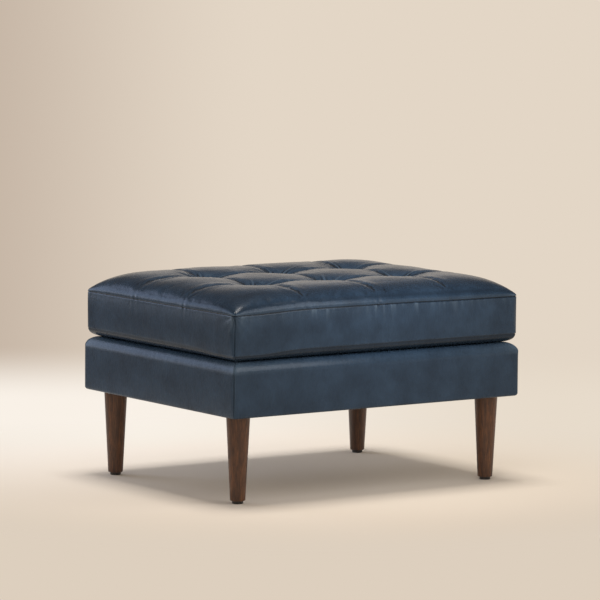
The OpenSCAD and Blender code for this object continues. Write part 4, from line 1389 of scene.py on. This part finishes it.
def add_softbox(name, power, direction, distance, size, hex_colour):
    """Square softbox in a direction from the cushion, which it faces and lights without being seen itself."""
    data = bpy.data.lights.new(name, "AREA")
    data.shape = "SQUARE"
    data.size = size
    data.energy = power
    data.color = linear(hex_colour)[:3]
    light = new_object(name, data)
    light.location = LIGHT_TARGET + distance * Vector(direction).normalized()
    light.rotation_euler = (LIGHT_TARGET - light.location).to_track_quat("-Z", "Y").to_euler()
    light.visible_camera = False


def add_floor(radius):
    """Round floor under the object, which isn't part of it."""
    work = bmesh.new()
    bmesh.ops.create_circle(work, cap_ends=True, segments=96, radius=radius)
    mesh = mesh_from("floor", work)
    mesh.materials.append(new_material("seamless_paper", seamless_paper))
    new_object("floor", mesh)


def studio_world():
    """Studio round the object: level light from all round, less from above, and the wall behind the floor."""
    look, stage = sizes("colours"), sizes("stage")
    world = bpy.data.worlds.new("studio")
    add = adder(world)
    way = add("TexCoord", out="Generated")
    up = add("SeparateXYZ", (way,), out="Z")
    # Heights are sines of the angle up from the horizon
    level = up, 0.35, 0.75, stage.low_light, stage.high_light
    strength = add("MapRange", level, interpolation_type="SMOOTHSTEP")
    around = add("Background", (linear("fff8f0"), strength))
    wall = graded(add, up, 0.12, 0.34, look.wall_right, look.studio)
    behind = add("Background", (wall, 1.0))
    both = add("MixShader", (background_rays(add), around, behind))
    add("OutputWorld", (both,))
    return world


class OTTOMAN_OT_stage(bpy.types.Operator):
    """Set the floor, the soft studio light and the camera"""

    bl_idname = "ottoman.stage"
    bl_label = "Stage"

    def execute(self, context):
        stage = sizes("stage")
        add_floor(stage.floor_radius)
        for name, placing in SOFTBOXES.items():
            add_softbox(name + "_softbox", getattr(stage, name + "_power"), *placing)
        data = bpy.data.cameras.new("camera")
        data.sensor_width = 36
        data.lens = CAMERA_LENS_MM
        data.clip_end = 200
        camera = new_object("camera", data)
        camera.location = CAMERA_PLACE
        camera.rotation_euler = CAMERA_ANGLES
        scene = context.scene
        scene.camera = camera
        scene.world = studio_world()
        scene.view_settings.view_transform = "Standard"
        return {"FINISHED"}


PIECE_OPERATORS = (
    OTTOMAN_OT_stage,
    OTTOMAN_OT_cushion_cover,
    OTTOMAN_OT_base_cover,
    OTTOMAN_OT_legs,
    OTTOMAN_OT_zip,
    OTTOMAN_OT_base_trim,
    OTTOMAN_OT_inside,
)


class OTTOMAN_PT_pieces(bpy.types.Panel):
    """Lists the pieces of the ottoman"""

    bl_idname = "OTTOMAN_PT_pieces"
    bl_label = "Ottoman"
    bl_space_type = "VIEW_3D"
    bl_region_type = "UI"
    bl_category = "Ottoman"

    def draw(self, context):
        for operator in PIECE_OPERATORS:
            self.layout.operator(operator.bl_idname)


PROPERTY_GROUPS = {
    "cushion": OttomanCushion,
    "base": OttomanBase,
    "legs": OttomanLegs,
    "trim": OttomanTrim,
    "colours": OttomanColours,
    "stage": OttomanStage,
}


def register():
    """Registers the property groups, the operators and the panel."""
    for name, group in PROPERTY_GROUPS.items():
        bpy.utils.register_class(group)
        setattr(bpy.types.Scene, "ottoman_" + name, PointerProperty(type=group))
    for item in (*PIECE_OPERATORS, OTTOMAN_PT_pieces):
        bpy.utils.register_class(item)


def unregister():
    """Removes what register() added."""
    for item in (OTTOMAN_PT_pieces, *reversed(PIECE_OPERATORS)):
        bpy.utils.unregister_class(item)
    for name, group in PROPERTY_GROUPS.items():
        delattr(bpy.types.Scene, "ottoman_" + name)
        bpy.utils.unregister_class(group)


def main():
    """Makes every piece in order."""
    register()
    for operator in PIECE_OPERATORS:
        group, name = operator.bl_idname.split(".")
        getattr(getattr(bpy.ops, group), name)()


if __name__ == "__main__":
    main()
